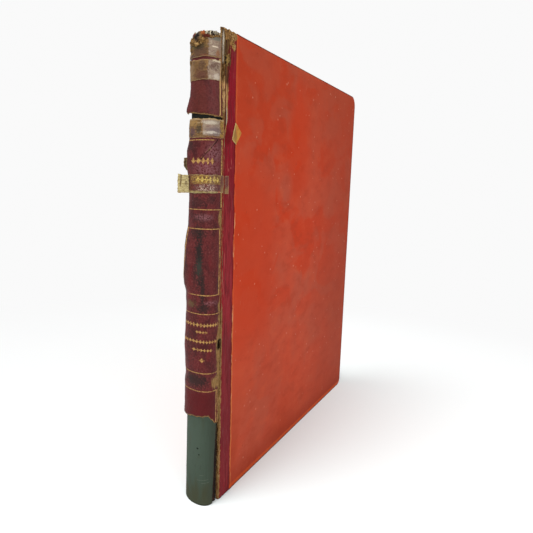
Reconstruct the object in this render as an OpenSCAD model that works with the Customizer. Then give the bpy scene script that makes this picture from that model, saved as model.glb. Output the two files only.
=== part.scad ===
// Worn quarter-leather book with a rounded hollow back, standing on its tail.
// Z runs up to the head, X out of the front cover, Y from the spine to the fore edge.
// The origin is the middle of the spine's foot. All sizes are in millimetres.

/* [Book] */
// Height of the covers, from tail to head
book_h = 310; // [290:1:340]
// Width of a cover, from its joint to the fore edge
cover_w = 246; // [200:1:280]
// How far the covers stand out past the leaves at head, tail and fore edge
square_w = 3; // [2:0.5:6]

/* [Text block] */
// Number of folded and sewn sections
section_count = 9; // [6:1:14]
// Thickness of one section
section_t = 2.04; // [1.6:0.02:2.6]
// Depth of the groove between two folds at the back
fold_depth = 0.8; // [0.4:0.1:1.2]
// Hollow of the fore edge
fore_hollow = 3.5; // [1:0.5:6]
// How far the backed shoulders stand out on each side
shoulder_w = 1; // [0.5:0.1:1.4]
// Number of cords sunk into the back
cord_count = 5; // [3:1:7]
// Thickness of a cord
cord_d = 2; // [1.5:0.1:2.5]
// Thickness of the mull glued over the folds and onto the boards
mull_t = 0.3; // [0.2:0.05:0.3]
// Width of the mull on each board
mull_flap_w = 25; // [15:1:40]
// Distance of the mull from head and tail
mull_inset = 25; // [15:1:40]

/* [Covers] */
// Thickness of a board
board_t = 2.2; // [1.8:0.1:3]
// Radius of the cover's two corners at the fore edge
corner_r = 5; // [3:0.5:8]
// Thickness of the paper siding
siding_t = 0.3; // [0.3:0.05:0.5]
// Width of leather left showing on a cover at the head
strip_w_head = 12.2; // [9:0.1:16]
// Width of leather left showing on a cover at the tail
strip_w_tail = 13.5; // [9:0.1:16]
// Thickness of the leather on a cover
strip_t = 0.45; // [0.4:0.05:0.7]
// Thickness of the pared leather under the siding's edge
pared_t = 0.2; // [0.1:0.05:0.25]
// How far the siding laps over the pared leather
lap_w = 2; // [1:0.5:4]
// Width of the covering turned in over a board's edges
turn_in = 15; // [10:1:20]
// Thickness of the pastedown
paste_t = 0.15; // [0.1:0.05:0.3]
// Distance of the pastedown from the board's edges
paste_inset = 4; // [2:1:8]
// Play between a pastedown and the leaves
cover_gap = 0.2; // [0.2:0.05:0.5]
// Radius to which the rear cover's corner at head and spine is knocked off
bump_r = 9; // [4:1:14]

/* [Spine] */
// How far the crown of the spine stands out in front of the boards
spine_depth = 12.1; // [10.5:0.1:14]
// How far the sides of the spine run back from its crown
spine_side = 8.6; // [7.4:0.1:9]
// How far the crown leans towards the front cover
spine_lean = 2.2; // [0:0.1:3.5]
// How far the front side of the spine has sunk in behind the front cover
spine_sunk = 1.2; // [1.2:0.1:2]
// How much narrower the spine is at the head than at the foot
spine_wedge = 4.2; // [0:0.1:5]
// Thickness of the cloth-covered spine lining
lining_t = 1.1; // [0.8:0.1:1.3]
// Hollow between the mull and the lining
hollow_gap = 0.3; // [0.3:0.05:0.6]
// Thickness of the leather on the spine
leather_t = 0.8; // [0.5:0.1:1.2]
// Clearance between sheets that lie on each other
sheet_gap = 0.1; // [0.05:0.01:0.15]

/* [Wear] */
// Height of spine lining left bare at the foot
bare_foot = 62; // [40:1:90]
// Distance of the break in the spine leather from the head
break_down = 52.5; // [45:1:70]
// Width of the open break in the spine leather
break_gap = 1.2; // [0.8:0.1:3]
// Depth of leather lost at the head of the spine
head_loss = 6; // [4:0.5:10]
// Thickness of the repair tapes
tape_t = 0.2; // [0.1:0.05:0.4]
// Width of the two tapes at the head
head_tape_w = 11.5; // [8:0.5:12]
// Width of the tape under the break
middle_tape_w = 11; // [8:0.5:14]
// Width of the loose tape
loose_tape_w = 11.5; // [8:0.5:14]
// Distance of the loose tape's lower edge from the head
loose_tape_down = 98.5; // [85:0.5:130]
// Length of the loose tape that stands off the spine
loose_flag = 8; // [3:0.5:8]

/* [Joints] */
// Distance of the hinge lines out from the cover leather
joint_out = 1.7; // [1.5:0.1:2.5]
// Angle at which the front cover stands open
front_open = 0; // [0:5:180]
// Angle at which the rear cover stands open
rear_open = 0; // [0:5:180]

/* [Hidden] */

$fn = 64;
// Clearance between glued layers
glue = 0.04;
// Room cut beyond a face, so that no skin is left
over = 1;

// Layers of a cover, as distances from the middle of the book
block_half = section_count * section_t / 2;
board_in = block_half + cover_gap + paste_t + siding_t;
board_out = board_in + board_t;
siding_face = board_out + siding_t;
leather_face = board_out + strip_t;

// The boards' spine edges, and the crown of the lining's outer face
joint_y = spine_depth - lining_t / 2;
crown_y = -lining_t / 2;
fore_y = joint_y + cover_w;
leaves_y = fore_y - square_w;
leaves_z = [square_w, book_h - square_w];

// Offsets from the lining's outer face, outwards
leather_lay = [sheet_gap, sheet_gap + leather_t];
tape_lay = [leather_lay[1] + sheet_gap, leather_lay[1] + sheet_gap + tape_t];
mull_out = -lining_t - hollow_gap;
fold_out = mull_out - mull_t - glue;

// Heights of the spine's fragments and tapes
break_z = book_h - break_down;
torn_head_z = book_h - head_loss;
crown_tape_z = torn_head_z - head_tape_w - 1;
head_tape_z = crown_tape_z - head_tape_w - 1.5;
middle_tape_z = break_z - break_gap - middle_tape_w;
loose_tape_z = book_h - loose_tape_down;

// Fullness of the spine's curve towards the rear and towards the front
rear_ease = 0.55;
front_ease = 0.75;
rear_drop = 5.05;
front_drop = 3.05;
rear_draw = 0.4;
front_swell = 0.5;
// Where a sheet runs on past the lining's edge: length for one whole share
beyond = 30;
// Direction in which the front joint leather runs on, and the loose tape stands off
joint_way = [0.148, 0.989];
flag_way = [-0.85, -0.527];

function mix(a, b, t) = a + (b - a) * t;
function clamp01(t) = max(0, min(1, t));
function smooth(t) = clamp01(t) * clamp01(t) * (3 - 2 * clamp01(t));
function cubic(p, t) =
    pow(1 - t, 3) * p[0] + 3 * pow(1 - t, 2) * t * p[1] + 3 * (1 - t) * t * t * p[2] + pow(t, 3) * p[3];
function cubic_way(p, t) =
    pow(1 - t, 2) * (p[1] - p[0]) + 2 * (1 - t) * t * (p[2] - p[1]) + t * t * (p[3] - p[2]);

// The lining's outer face in plan: one cubic curve from the rear edge to the crown,
// one from the crown to the front edge. The rear one draws in towards the head.
function rear_x(z) = -siding_face + spine_wedge * z / book_h;
function front_x() = siding_face - spine_sunk;
function rear_curve(z) = [
    [rear_x(z), crown_y + spine_side],
    [rear_x(z) + rear_draw, crown_y + rear_drop],
    [mix(spine_lean, rear_x(z), rear_ease), crown_y],
    [spine_lean, crown_y]
];
function front_curve() = [
    [spine_lean, crown_y],
    [mix(spine_lean, front_x(), front_ease), crown_y],
    [front_x() + front_swell, crown_y + front_drop],
    [front_x(), crown_y + spine_side]
];
function on_curve(u, z) = u < 0.5 ? cubic(rear_curve(z), 2 * u) : cubic(front_curve(), 2 * u - 1);
function curve_way(u, z) = u < 0.5 ? cubic_way(rear_curve(z), 2 * u) : cubic_way(front_curve(), 2 * u - 1);
function outward(way) = [way[1], -way[0]] / norm(way);

// A point at share u of the way across the spine, set out from the lining's face
function spine_point(u, z, out) =
    let (v = clamp01(u), way = curve_way(v, z), lay = on_curve(v, z) + out * outward(way))
    u > 1 ? lay + (u - 1) * beyond * joint_way
    : lay + (u - v) * beyond * way / norm(way);

// The same on a sheet that has come unstuck: below the share root it runs straight,
// from where its inner face leaves the spine, with its thickness square to itself
function flag_point(u, z, inner, out, root) =
    spine_point(root, z, inner) + (root - u) * beyond * flag_way + (out - inner) * outward(-flag_way);

// How far the leather has lifted off the lining along its rear side:
// over the main piece by share of its height, on the head piece by height above the break
main_lift = [
    [0, 1], [0.12, 1], [0.155, 0.4], [0.25, 1.6], [0.33, 1.2], [0.38, 0.8], [0.44, 1.1], [0.465, 2.4],
    [0.5, 3], [0.59, 2.4], [0.63, 1.4], [0.66, 0.3], [0.75, 0], [0.81, 0.4], [0.85, 1.7], [0.9, 1.8],
    [0.94, 0.2], [1, 0]
];
head_lift = [[0, 2.6], [5, 2.3], [9, 1.3], [13, 0.4], [17, 0], [60, 0]];
lift_root = 0.5;
lift_full = 0.14;
function edge_lift(z) =
    z < break_z ? lookup((z - bare_foot) / (break_z - bare_foot), main_lift) : lookup(z - break_z, head_lift);
function lift(u, z) = smooth((lift_root - u) / (lift_root - lift_full)) * edge_lift(z);

// Small unevenness of a torn edge
function tear(k, size) = size * (sin(157 * k) + sin(263 * k + 40)) / 2;

// A strip of the spine's section between two offsets, as an outline
module back_band(lo, hi, u0, u1, steps = 40) {
    share = [for (i = [0:steps]) mix(u0, u1, i / steps)];
    polygon(concat(
        [for (u = share) spine_point(u, book_h, hi)],
        [for (i = [steps:-1:0]) spine_point(share[i], book_h, lo)]
    ));
}

// A thin sheet bent over the spine. Its four edges are tables over its own width or height:
// foot and head give heights, rear and front give shares across the spine.
module spine_sheet(lay, foot, head, rear, front, cols, rows, lifted = true, torn = 0, flag_u = 0) {
    across = cols + 1;
    layer = across * (rows + 1);
    function at_end(t) = t == 0 || t == 1 ? 1 : 0;
    function edge_z(s, q) = mix(lookup(s, foot), lookup(s, head), q) + at_end(q) * tear(9 * s + q, torn);
    function edge_u(s, q) =
        mix(lookup(q, rear), lookup(q, front), s) + at_end(s) * tear(11 * q + s, torn / beyond);
    function rise(u, z) = lifted ? lift(u, z) : 0;
    function laid(s, q, out) =
        let (z = edge_z(s, q), u = edge_u(s, q), up = rise(max(u, flag_u), z))
        let (p = u < flag_u ? flag_point(u, z, lay[0] + up, out + up, flag_u) : spine_point(u, z, out + up))
        [p[0], p[1], z];
    points = [for (out = lay) for (j = [0:rows]) for (i = [0:cols]) laid(i / cols, j / rows, out)];
    function outer(i, j) = layer + j * across + i;
    function inner(i, j) = j * across + i;
    faces = concat(
        [for (j = [0:rows - 1]) for (i = [0:cols - 1]) [outer(i, j), outer(i, j + 1), outer(i + 1, j + 1)]],
        [for (j = [0:rows - 1]) for (i = [0:cols - 1]) [outer(i, j), outer(i + 1, j + 1), outer(i + 1, j)]],
        [for (j = [0:rows - 1]) for (i = [0:cols - 1]) [inner(i, j), inner(i + 1, j + 1), inner(i, j + 1)]],
        [for (j = [0:rows - 1]) for (i = [0:cols - 1]) [inner(i, j), inner(i + 1, j), inner(i + 1, j + 1)]],
        [for (i = [0:cols - 1]) [outer(i, 0), outer(i + 1, 0), inner(i + 1, 0)]],
        [for (i = [0:cols - 1]) [outer(i, 0), inner(i + 1, 0), inner(i, 0)]],
        [for (i = [0:cols - 1]) [outer(i + 1, rows), outer(i, rows), inner(i, rows)]],
        [for (i = [0:cols - 1]) [outer(i + 1, rows), inner(i, rows), inner(i + 1, rows)]],
        [for (j = [0:rows - 1]) [outer(0, j + 1), outer(0, j), inner(0, j)]],
        [for (j = [0:rows - 1]) [outer(0, j + 1), inner(0, j), inner(0, j + 1)]],
        [for (j = [0:rows - 1]) [outer(cols, j), outer(cols, j + 1), inner(cols, j + 1)]],
        [for (j = [0:rows - 1]) [outer(cols, j), inner(cols, j + 1), inner(cols, j)]]
    );
    polyhedron(points = points, faces = faces);
}

// A strip of tape stuck over the leather
module tape(z, w, u0, u1, cols, rows = 3, torn = 0.3) {
    spine_sheet(tape_lay, [[0, z], [1, z]], [[0, z + w], [1, z + w]], [[0, u0], [1, u0]], [[0, u1], [1, u1]],
        cols, rows, torn = torn);
}

// The back of the text block: one rounded fold for each section
function fold_share(i, steps) = mix(0.03, 0.97, i / (section_count * steps));
function fold_bulge(f) = sqrt(max(0, 1 - pow(2 * f - 1, 2)));
function fold_points(steps) = [
    for (i = [0:section_count * steps])
        let (dip = fold_depth * (1 - fold_bulge((i % steps) / steps)))
        spine_point(fold_share(i, steps), book_h, fold_out - dip)
];
cord_zs = [for (k = [1:cord_count]) mix(leaves_z[0], leaves_z[1], k / (cord_count + 1))];
shoulder_x = block_half + shoulder_w;
shoulder_y = joint_y - shoulder_w;

module block_outline() {
    difference() {
        polygon(concat(
            [[-block_half, leaves_y], [-block_half, joint_y], [-shoulder_x, shoulder_y]],
            fold_points(8),
            [[shoulder_x, shoulder_y], [block_half, joint_y], [block_half, leaves_y]]
        ));
        hollow_r = (block_half * block_half + fore_hollow * fore_hollow) / (2 * fore_hollow);
        translate([0, leaves_y + hollow_r - fore_hollow])
            circle(r = hollow_r, $fn = 96);
    }
}

module cord_bands(lo, hi, h) {
    for (z = cord_zs)
        translate([0, 0, z - h / 2])
            linear_extrude(height = h)
                back_band(lo, hi, 0.08, 0.92);
}

module text_block() {
    color("beige")
        difference() {
            translate([0, 0, leaves_z[0]])
                linear_extrude(height = leaves_z[1] - leaves_z[0])
                    block_outline();
            cord_bands(fold_out - cord_d - glue, fold_out + over, cord_d + 2 * glue);
        }
}

module sewing_cords() {
    color("tan")
        cord_bands(fold_out - cord_d, fold_out, cord_d);
}

module spine_mull() {
    color("wheat")
        translate([0, 0, mull_inset])
            linear_extrude(height = book_h - 2 * mull_inset)
                back_band(mull_out - mull_t, mull_out, 0.04, 0.96);
}

// The front edge of the lining is torn back at the foot
module spine_lining() {
    head_z = torn_head_z - 1;
    color("darkslategray")
        spine_sheet([-lining_t, 0],
            [[0, 0], [1, 0]],
            [[0, head_z], [1, head_z]],
            [[0, 0], [1, 0]],
            [[0, 0.95], [0.05, 0.98], [0.1, 1], [0.14, 1.04], [0.2, 1.05], [1, 1.05]],
            20, 20, lifted = false);
}

module head_leather() {
    color("saddlebrown")
        spine_sheet(leather_lay,
            [[0, break_z + 3], [0.28, break_z + 2.2], [0.5, break_z + 1], [1, break_z]],
            [[0, torn_head_z - 5], [0.14, torn_head_z - 1], [0.24, torn_head_z + 1], [0.32, torn_head_z + 2],
                [0.4, torn_head_z - 0.5], [0.75, torn_head_z - 0.5], [1, torn_head_z + 1]],
            [[0, 0.03], [0.3, 0.06], [0.45, 0.16], [0.8, 0.16], [0.9, 0.1], [1, 0.1]],
            [[0, 1.08], [0.3, 1.06], [0.6, 1], [0.85, 0.98], [1, 0.98]],
            18, 12, torn = 0.5);
}

module spine_leather() {
    color("maroon")
        spine_sheet(leather_lay,
            [[0, bare_foot], [0.3, bare_foot + 1.8], [0.44, bare_foot + 2.6], [0.7, bare_foot + 3.4],
                [0.78, bare_foot + 0.7], [0.9, bare_foot - 3], [1, bare_foot - 4]],
            [[0, break_z - break_gap], [1, break_z - break_gap]],
            [[0, 0.02], [0.7, 0.02], [0.74, 0.07], [0.8, 0.04], [0.92, 0.02], [1, 0.1]],
            [[0, 1.09], [1, 1.09]],
            20, 40, torn = 0.5);
}

module crown_tape() {
    color("rosybrown")
        tape(crown_tape_z, head_tape_w, 0.17, 0.945, 14);
}

module head_tape() {
    color("rosybrown")
        tape(head_tape_z, head_tape_w, 0.17, 0.945, 14);
}

module middle_tape() {
    color("darkkhaki")
        tape(middle_tape_z, middle_tape_w, 0.12, 1.08, 16);
}

// The rear end of this tape has come unstuck and stands off the spine
module loose_tape() {
    root = 0.27;
    color("khaki")
        spine_sheet([tape_lay[0] + sheet_gap, tape_lay[1] + sheet_gap],
            [[0, loose_tape_z], [1, loose_tape_z + 0.8]],
            [[0, loose_tape_z + loose_tape_w], [1, loose_tape_z + loose_tape_w]],
            [[0, root - loose_flag / beyond], [1, root - loose_flag / beyond + 0.03]],
            [[0, 1.08], [1, 1.08]],
            22, 3, torn = 0.3, flag_u = root);
}

// A scrap of older tape that stands off the lifted leather
module tape_scrap() {
    root = 0.13;
    scrap_z = loose_tape_z + loose_tape_w + 4;
    color("sienna")
        spine_sheet(tape_lay, [[0, scrap_z], [1, scrap_z + 1]], [[0, scrap_z + 7], [1, scrap_z + 6]],
            [[0, root - 0.11], [1, root - 0.11]], [[0, 0.17], [1, 0.17]], 6, 3, torn = 0.3, flag_u = root);
}

// A plate of a cover, drawn as seen from its outer face
module plate(x0, x1) {
    translate([x0, 0, 0])
        rotate([90, 0, 90])
            linear_extrude(height = x1 - x0)
                children();
}

// Outline of a cover, drawn in by a margin at head, tail and fore edge
module cover_outline(margin) {
    r = corner_r - margin;
    far = fore_y - margin;
    translate([joint_y, margin])
        square([far - r - joint_y, book_h - 2 * margin]);
    translate([joint_y, margin + r])
        square([far - joint_y, book_h - 2 * (margin + r)]);
    for (z = [margin + r, book_h - margin - r])
        translate([far - r, z])
            circle(r = r);
}

// Where the siding's edge lies, measured from the spine
function siding_edge(z) = joint_y + mix(strip_w_tail, strip_w_head, z / book_h);

// Everything on the fore-edge side of a line beside the siding's edge
module beside_edge(shift, width = cover_w + over) {
    low = siding_edge(-over) + shift;
    high = siding_edge(book_h + over) + shift;
    polygon([[low, -over], [low + width, -over], [high + width, book_h + over], [high, book_h + over]]);
}

module board() {
    plate(board_in, board_out)
        cover_outline(siding_t + glue);
}

// Paper over the outer face, round the edges and in over the inner face,
// with its spine-side edge lying up on the pared leather
module siding() {
    difference() {
        plate(board_in - siding_t, siding_face)
            intersection() {
                cover_outline(0);
                beside_edge(glue);
            }
        plate(board_in - glue, board_out + glue)
            cover_outline(siding_t);
        plate(board_out, board_out + pared_t + glue)
            beside_edge(-over, lap_w + over);
        plate(board_in - siding_t - over, board_in)
            inner_window();
    }
    plate(board_out + pared_t + glue, siding_face + pared_t)
        intersection() {
            cover_outline(0);
            beside_edge(glue, lap_w + 1);
        }
}

// The part of a board's inner face that no turn-in covers
module inner_window() {
    translate([joint_y - over, turn_in])
        square([cover_w + over - turn_in, book_h - 2 * turn_in]);
}

// Spine-side edge of the leather on the front cover: distance lost from the joint, by share of height
worn_edge = [
    [0, 0.3], [0.2, 0.4], [0.5, 0.3], [0.77, 0.5], [0.81, 1], [0.83, 2.7], [0.88, 3.2], [0.92, 4],
    [0.945, 6], [0.97, 5], [1, 3]
];
worn_steps = 60;

module strip_outline(worn) {
    edge = [for (i = [0:worn_steps]) let (q = i / worn_steps)
        [joint_y + (worn ? lookup(q, worn_edge) + abs(tear(7 * i, 0.6)) : 0), q * book_h]];
    polygon(concat(edge, [[siding_edge(book_h), book_h], [siding_edge(0), 0]]));
}

// Leather over the joint side of a cover: full thickness on the face, pared at head and tail
// and under the siding
module cover_leather(worn) {
    difference() {
        plate(board_in - siding_t, leather_face)
            strip_outline(worn);
        plate(board_in - glue, board_out + glue)
            translate([0, siding_t])
                square([fore_y, book_h - 2 * siding_t]);
        plate(board_in - siding_t - over, board_in)
            inner_window();
    }
    plate(board_out + glue, board_out + pared_t)
        intersection() {
            translate([0, siding_t])
                square([fore_y, book_h - 2 * siding_t]);
            beside_edge(-over, lap_w + over - glue);
        }
}

module mull_flap() {
    plate(board_in - mull_t, board_in - glue)
        translate([joint_y + glue, mull_inset])
            square([mull_flap_w, book_h - 2 * mull_inset]);
}

// The sheet that covers the turn-ins, with its back filling the window between them
module pastedown() {
    difference() {
        union() {
            plate(board_in - siding_t - paste_t, board_in - siding_t - glue)
                translate([joint_y + glue, paste_inset])
                    square([cover_w - paste_inset, book_h - 2 * paste_inset]);
            plate(board_in - siding_t - paste_t, board_in - glue)
                translate([joint_y + glue, turn_in + glue])
                    square([cover_w - turn_in - 2 * glue, book_h - 2 * (turn_in + glue)]);
        }
        plate(board_in - mull_t - glue, board_in)
            translate([joint_y - over, mull_inset - glue])
                square([mull_flap_w + over + 3 * glue, book_h - 2 * (mull_inset - glue)]);
    }
}

// What is knocked off the rear cover's corner between head and spine
module bumped_corner() {
    plate(board_in - siding_t - over, leather_face + over)
        difference() {
            translate([joint_y - over, book_h - bump_r])
                square([bump_r + over, bump_r + over]);
            translate([joint_y + bump_r, book_h - bump_r])
                circle(r = bump_r);
        }
}

// The hinge lines of the two covers
hinge = [leather_face + joint_out, joint_y - 1];

module on_front_cover() {
    translate([hinge[0], hinge[1], 0])
        rotate([0, 0, -front_open])
            translate([-hinge[0], -hinge[1], 0])
                children();
}

module on_rear_cover() {
    translate([-hinge[0], hinge[1], 0])
        rotate([0, 0, rear_open])
            translate([hinge[0], -hinge[1], 0])
                mirror([1, 0, 0])
                    children();
}

module front_board() {
    color("burlywood")
        on_front_cover()
            board();
}

module front_siding() {
    color("orangered")
        on_front_cover()
            siding();
}

module front_leather() {
    color("brown")
        on_front_cover()
            cover_leather(true);
}

module front_pastedown() {
    color("ivory")
        on_front_cover()
            pastedown();
}

module front_mull_flap() {
    color("wheat")
        on_front_cover()
            mull_flap();
}

// A kite of amber tape left where siding and leather meet
flake_down = 60.5;
module tape_flake() {
    color("goldenrod")
        on_front_cover()
            plate(siding_face + pared_t + glue, siding_face + pared_t + tape_t)
                translate([joint_y, book_h - flake_down])
                    polygon([[12, 6.8], [19.9, 1.7], [13.1, -6.8], [8.5, -3.6]]);
}

// The loose tape's other end, torn off with the front cover
module tape_remnant() {
    color("rosybrown")
        on_front_cover()
            plate(leather_face + glue, leather_face + tape_t)
                translate([joint_y, loose_tape_z])
                    polygon([[0.9, 0], [5.3, 0.3], [5.1, loose_tape_w], [1.2, loose_tape_w - 0.4]]);
}

module rear_board() {
    color("burlywood")
        on_rear_cover()
            difference() {
                board();
                bumped_corner();
            }
}

module rear_siding() {
    color("orangered")
        on_rear_cover()
            siding();
}

module rear_leather() {
    color("brown")
        on_rear_cover()
            difference() {
                cover_leather(false);
                bumped_corner();
            }
}

module rear_pastedown() {
    color("ivory")
        on_rear_cover()
            pastedown();
}

module rear_mull_flap() {
    color("wheat")
        on_rear_cover()
            mull_flap();
}

text_block();
sewing_cords();
spine_mull();
spine_lining();
head_leather();
spine_leather();
crown_tape();
head_tape();
middle_tape();
loose_tape();
tape_scrap();
front_board();
front_siding();
front_leather();
front_pastedown();
front_mull_flap();
tape_flake();
tape_remnant();
rear_board();
rear_siding();
rear_leather();
rear_pastedown();
rear_mull_flap();
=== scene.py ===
import math

import bmesh
import bpy
import numpy as np
from bpy.props import FloatProperty, FloatVectorProperty, IntProperty, PointerProperty
from mathutils import Matrix, Vector


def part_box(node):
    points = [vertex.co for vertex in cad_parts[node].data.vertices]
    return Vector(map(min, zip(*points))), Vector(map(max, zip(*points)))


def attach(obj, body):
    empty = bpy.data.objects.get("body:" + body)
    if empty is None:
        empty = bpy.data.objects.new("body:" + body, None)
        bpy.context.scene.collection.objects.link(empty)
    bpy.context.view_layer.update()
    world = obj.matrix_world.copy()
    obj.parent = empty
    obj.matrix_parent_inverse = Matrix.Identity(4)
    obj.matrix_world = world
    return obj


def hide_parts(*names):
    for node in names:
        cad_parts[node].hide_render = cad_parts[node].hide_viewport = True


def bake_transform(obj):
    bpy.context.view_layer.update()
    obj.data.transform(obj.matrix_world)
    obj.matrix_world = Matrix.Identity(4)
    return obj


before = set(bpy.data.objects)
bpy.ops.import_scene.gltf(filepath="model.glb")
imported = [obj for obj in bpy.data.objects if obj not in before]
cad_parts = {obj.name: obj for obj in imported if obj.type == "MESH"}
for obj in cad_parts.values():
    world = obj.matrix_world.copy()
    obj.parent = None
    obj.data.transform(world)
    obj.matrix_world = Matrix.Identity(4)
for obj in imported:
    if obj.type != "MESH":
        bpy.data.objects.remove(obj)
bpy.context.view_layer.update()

bl_info = {
    "name": "Worn Quarter-Leather Book",
    "version": (1, 0, 0),
    "blender": (4, 5, 0),
    "location": "View3D > Sidebar > Book",
    "description": "Builds the leaves, torn leather, tapes and papered boards of an old book",
    "category": "Add Mesh",
}

MM = 0.001
BLOCK, FRONT, REAR = "book_block", "front_cover", "rear_cover"
COVERS = {"front": FRONT, "rear": REAR}
SIGNS = {"front": 1, "rear": -1}


def edge_of(node, high, axis):
    """One side of a node's box, in millimetres."""
    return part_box(node)[high][axis] / MM


# The book's own sizes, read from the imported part, in millimetres
BOOK_H = edge_of("front_siding", 1, 2)
JOINT_Y = edge_of("front_board", 0, 1)
FORE_Y = edge_of("front_siding", 1, 1)
CORNER_R, WORN_HEAD_R, WORN_FOOT_R = 5.0, 10.0, 7.0
EDGE_ROUND = 0.09
BOARD_IN = edge_of("front_board", 0, 0)
BOARD_OUT = edge_of("front_board", 1, 0)
LEATHER_FACE = edge_of("front_leather", 1, 0)
LEAVES_LOW, LEAVES_HIGH = edge_of("text_block", 0, 2), edge_of("text_block", 1, 2)
LEAVES_Y = edge_of("text_block", 1, 1)
SIDING_T = 0.3
SIDING_FACE = BOARD_OUT + SIDING_T
SIDING_START, SIDING_LEAN = 13.5, 1.3
STRIP_T = LEATHER_FACE - BOARD_OUT - 0.04
TURN_IN = 15

# The spine's section, as in the solids: how it bulges, leans and draws in
CROWN_Y = -0.55
SPINE_SIDE = 8.6
SPINE_LEAN = 2.2
SPINE_SUNK = 1.2
SPINE_WEDGE = 4.2
REAR_EASE, FRONT_EASE = 0.55, 0.75
REAR_DROP, FRONT_DROP = 5.05, 3.05
REAR_DRAW, FRONT_SWELL = 0.4, 0.5
BEYOND = 30
JOINT_WAY = np.array([0.148, 0.989])
FLAG_WAY = np.array([-0.85, -0.527])
LINING_T = 1.1
FOLD_OUT = -1.74
FOLD_DEPTH = 0.8
SECTIONS = 9

# Heights on the spine
BARE_FOOT = 62
BREAK_Z = BOOK_H - 52.5
BREAK_GAP = 1.2
TORN_HEAD = BOOK_H - 6
LOOSE_Z = BOOK_H - 98.5
TAPE_WIDTH = 11.5
HOLE_Z = 113.4
CRACK_U, CRACK_Z, CRACK_LEAN = 0.9, 244, 0.031

MAIN_LIFT = [
    (0, 1), (0.12, 1), (0.155, 0.4), (0.25, 1.6), (0.33, 1.2), (0.38, 0.8), (0.44, 1.1), (0.465, 2.4),
    (0.5, 3), (0.59, 2.4), (0.63, 1.4), (0.66, 0.3), (0.75, 0), (0.81, 0.4), (0.85, 1.7), (0.9, 1.8),
    (0.94, 0.2), (1, 0),
]
HEAD_LIFT = [(0, 2.6), (5, 2.3), (9, 1.3), (13, 0.4), (17, 0), (60, 0)]
LIFT_ROOT, LIFT_FULL = 0.5, 0.14

# Lens and place of the camera, as worked out from the cover's edges
CAMERA_AT = (0.18421, -0.25224, 0.21709)
CAMERA_WAY = (-0.4616, 0.8725, -0.1603)
CAMERA_UP = (-0.1022, 0.1272, 0.9866)
CAMERA_LENS = 33.26


# Numbers along tables and random values

def mix(a, b, t):
    return a + (b - a) * t


def steps(count):
    return np.linspace(0, 1, count)


def shares(columns, rows):
    """Two grids of numbers from 0 to 1, the first along the columns and the second along the rows."""
    return np.meshgrid(steps(columns), steps(rows))


def smooth(t):
    t = np.clip(t, 0, 1)
    return t * t * (3 - 2 * t)


def lookup(x, table):
    return np.interp(x, [p[0] for p in table], [p[1] for p in table])


def ragged(x, grain, seed):
    """Smooth random values from -1 to 1 along x, a new one every grain."""
    values = np.random.default_rng(seed).uniform(-1, 1, 4096)
    k = np.asarray(x, float) / grain + 1000
    whole = np.floor(k).astype(int)
    return mix(values[whole % 4096], values[(whole + 1) % 4096], smooth(k - whole))


def tear(x, size, seed):
    """The unevenness of a torn edge."""
    return size * (0.55 * ragged(x, 4.1, seed) + 0.3 * ragged(x, 1.5, seed + 1) + 0.25 * ragged(x, 0.6, seed + 2))


def rumple(x, y, grain, seed):
    """Smooth random values from -1 to 1 over a surface, a new one every grain."""
    size = 97
    values = np.random.default_rng(seed).uniform(-1, 1, (size, size))
    kx, ky = np.asarray(x, float) / grain + 500, np.asarray(y, float) / grain + 500
    ix, iy = np.floor(kx).astype(int), np.floor(ky).astype(int)
    fx, fy = smooth(kx - ix), smooth(ky - iy)
    low = mix(values[iy % size, ix % size], values[iy % size, (ix + 1) % size], fx)
    high = mix(values[(iy + 1) % size, ix % size], values[(iy + 1) % size, (ix + 1) % size], fx)
    return mix(low, high, fy)


# The spine's surface

def bezier(points, t):
    """Point and direction on a cubic curve."""
    a, b, c, d = points
    s = 1 - t
    at = [s**3 * a[k] + 3 * s**2 * t * b[k] + 3 * s * t**2 * c[k] + t**3 * d[k] for k in (0, 1)]
    way = [s**2 * (b[k] - a[k]) + 2 * s * t * (c[k] - b[k]) + t**2 * (d[k] - c[k]) for k in (0, 1)]
    return np.stack(np.broadcast_arrays(*at), -1), np.stack(np.broadcast_arrays(*way), -1)


def spine_section(u, z):
    """Point on the lining's outer face at share u and height z, with its direction."""
    rear_x = -SIDING_FACE + SPINE_WEDGE * z / BOOK_H
    front_x = SIDING_FACE - SPINE_SUNK
    crown = (SPINE_LEAN, CROWN_Y)
    rear = [
        (rear_x, CROWN_Y + SPINE_SIDE),
        (rear_x + REAR_DRAW, CROWN_Y + REAR_DROP),
        (mix(SPINE_LEAN, rear_x, REAR_EASE), CROWN_Y),
        crown,
    ]
    front = [
        crown,
        (mix(SPINE_LEAN, front_x, FRONT_EASE), CROWN_Y),
        (front_x + FRONT_SWELL, CROWN_Y + FRONT_DROP),
        (front_x, CROWN_Y + SPINE_SIDE),
    ]
    rear_at, rear_way = bezier(rear, 2 * u)
    front_at, front_way = bezier(front, 2 * u - 1)
    is_rear = (u < 0.5)[..., None]
    return np.where(is_rear, rear_at, front_at), np.where(is_rear, rear_way, front_way)


def spine_place(u, z, out):
    """Points in the row frame at share u, height z and distance out from the lining."""
    u, z, out = np.broadcast_arrays(*(np.asarray(v, float) for v in (u, z, out)))
    held = np.clip(u, 0, 1)
    at, way = spine_section(held, z)
    way = way / np.linalg.norm(way, axis=-1, keepdims=True)
    outward = np.stack([way[..., 1], -way[..., 0]], -1)
    run = np.where((u > 1)[..., None], JOINT_WAY, way) * ((u - held) * BEYOND)[..., None]
    flat = at + outward * out[..., None] + run
    return np.concatenate([flat, z[..., None]], -1)


def edge_lift(z):
    """How far the leather's rear edge stands off at a height."""
    main = lookup((z - BARE_FOOT) / (BREAK_Z - BARE_FOOT), MAIN_LIFT)
    return np.where(z < BREAK_Z, main, lookup(z - BREAK_Z, HEAD_LIFT))


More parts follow.
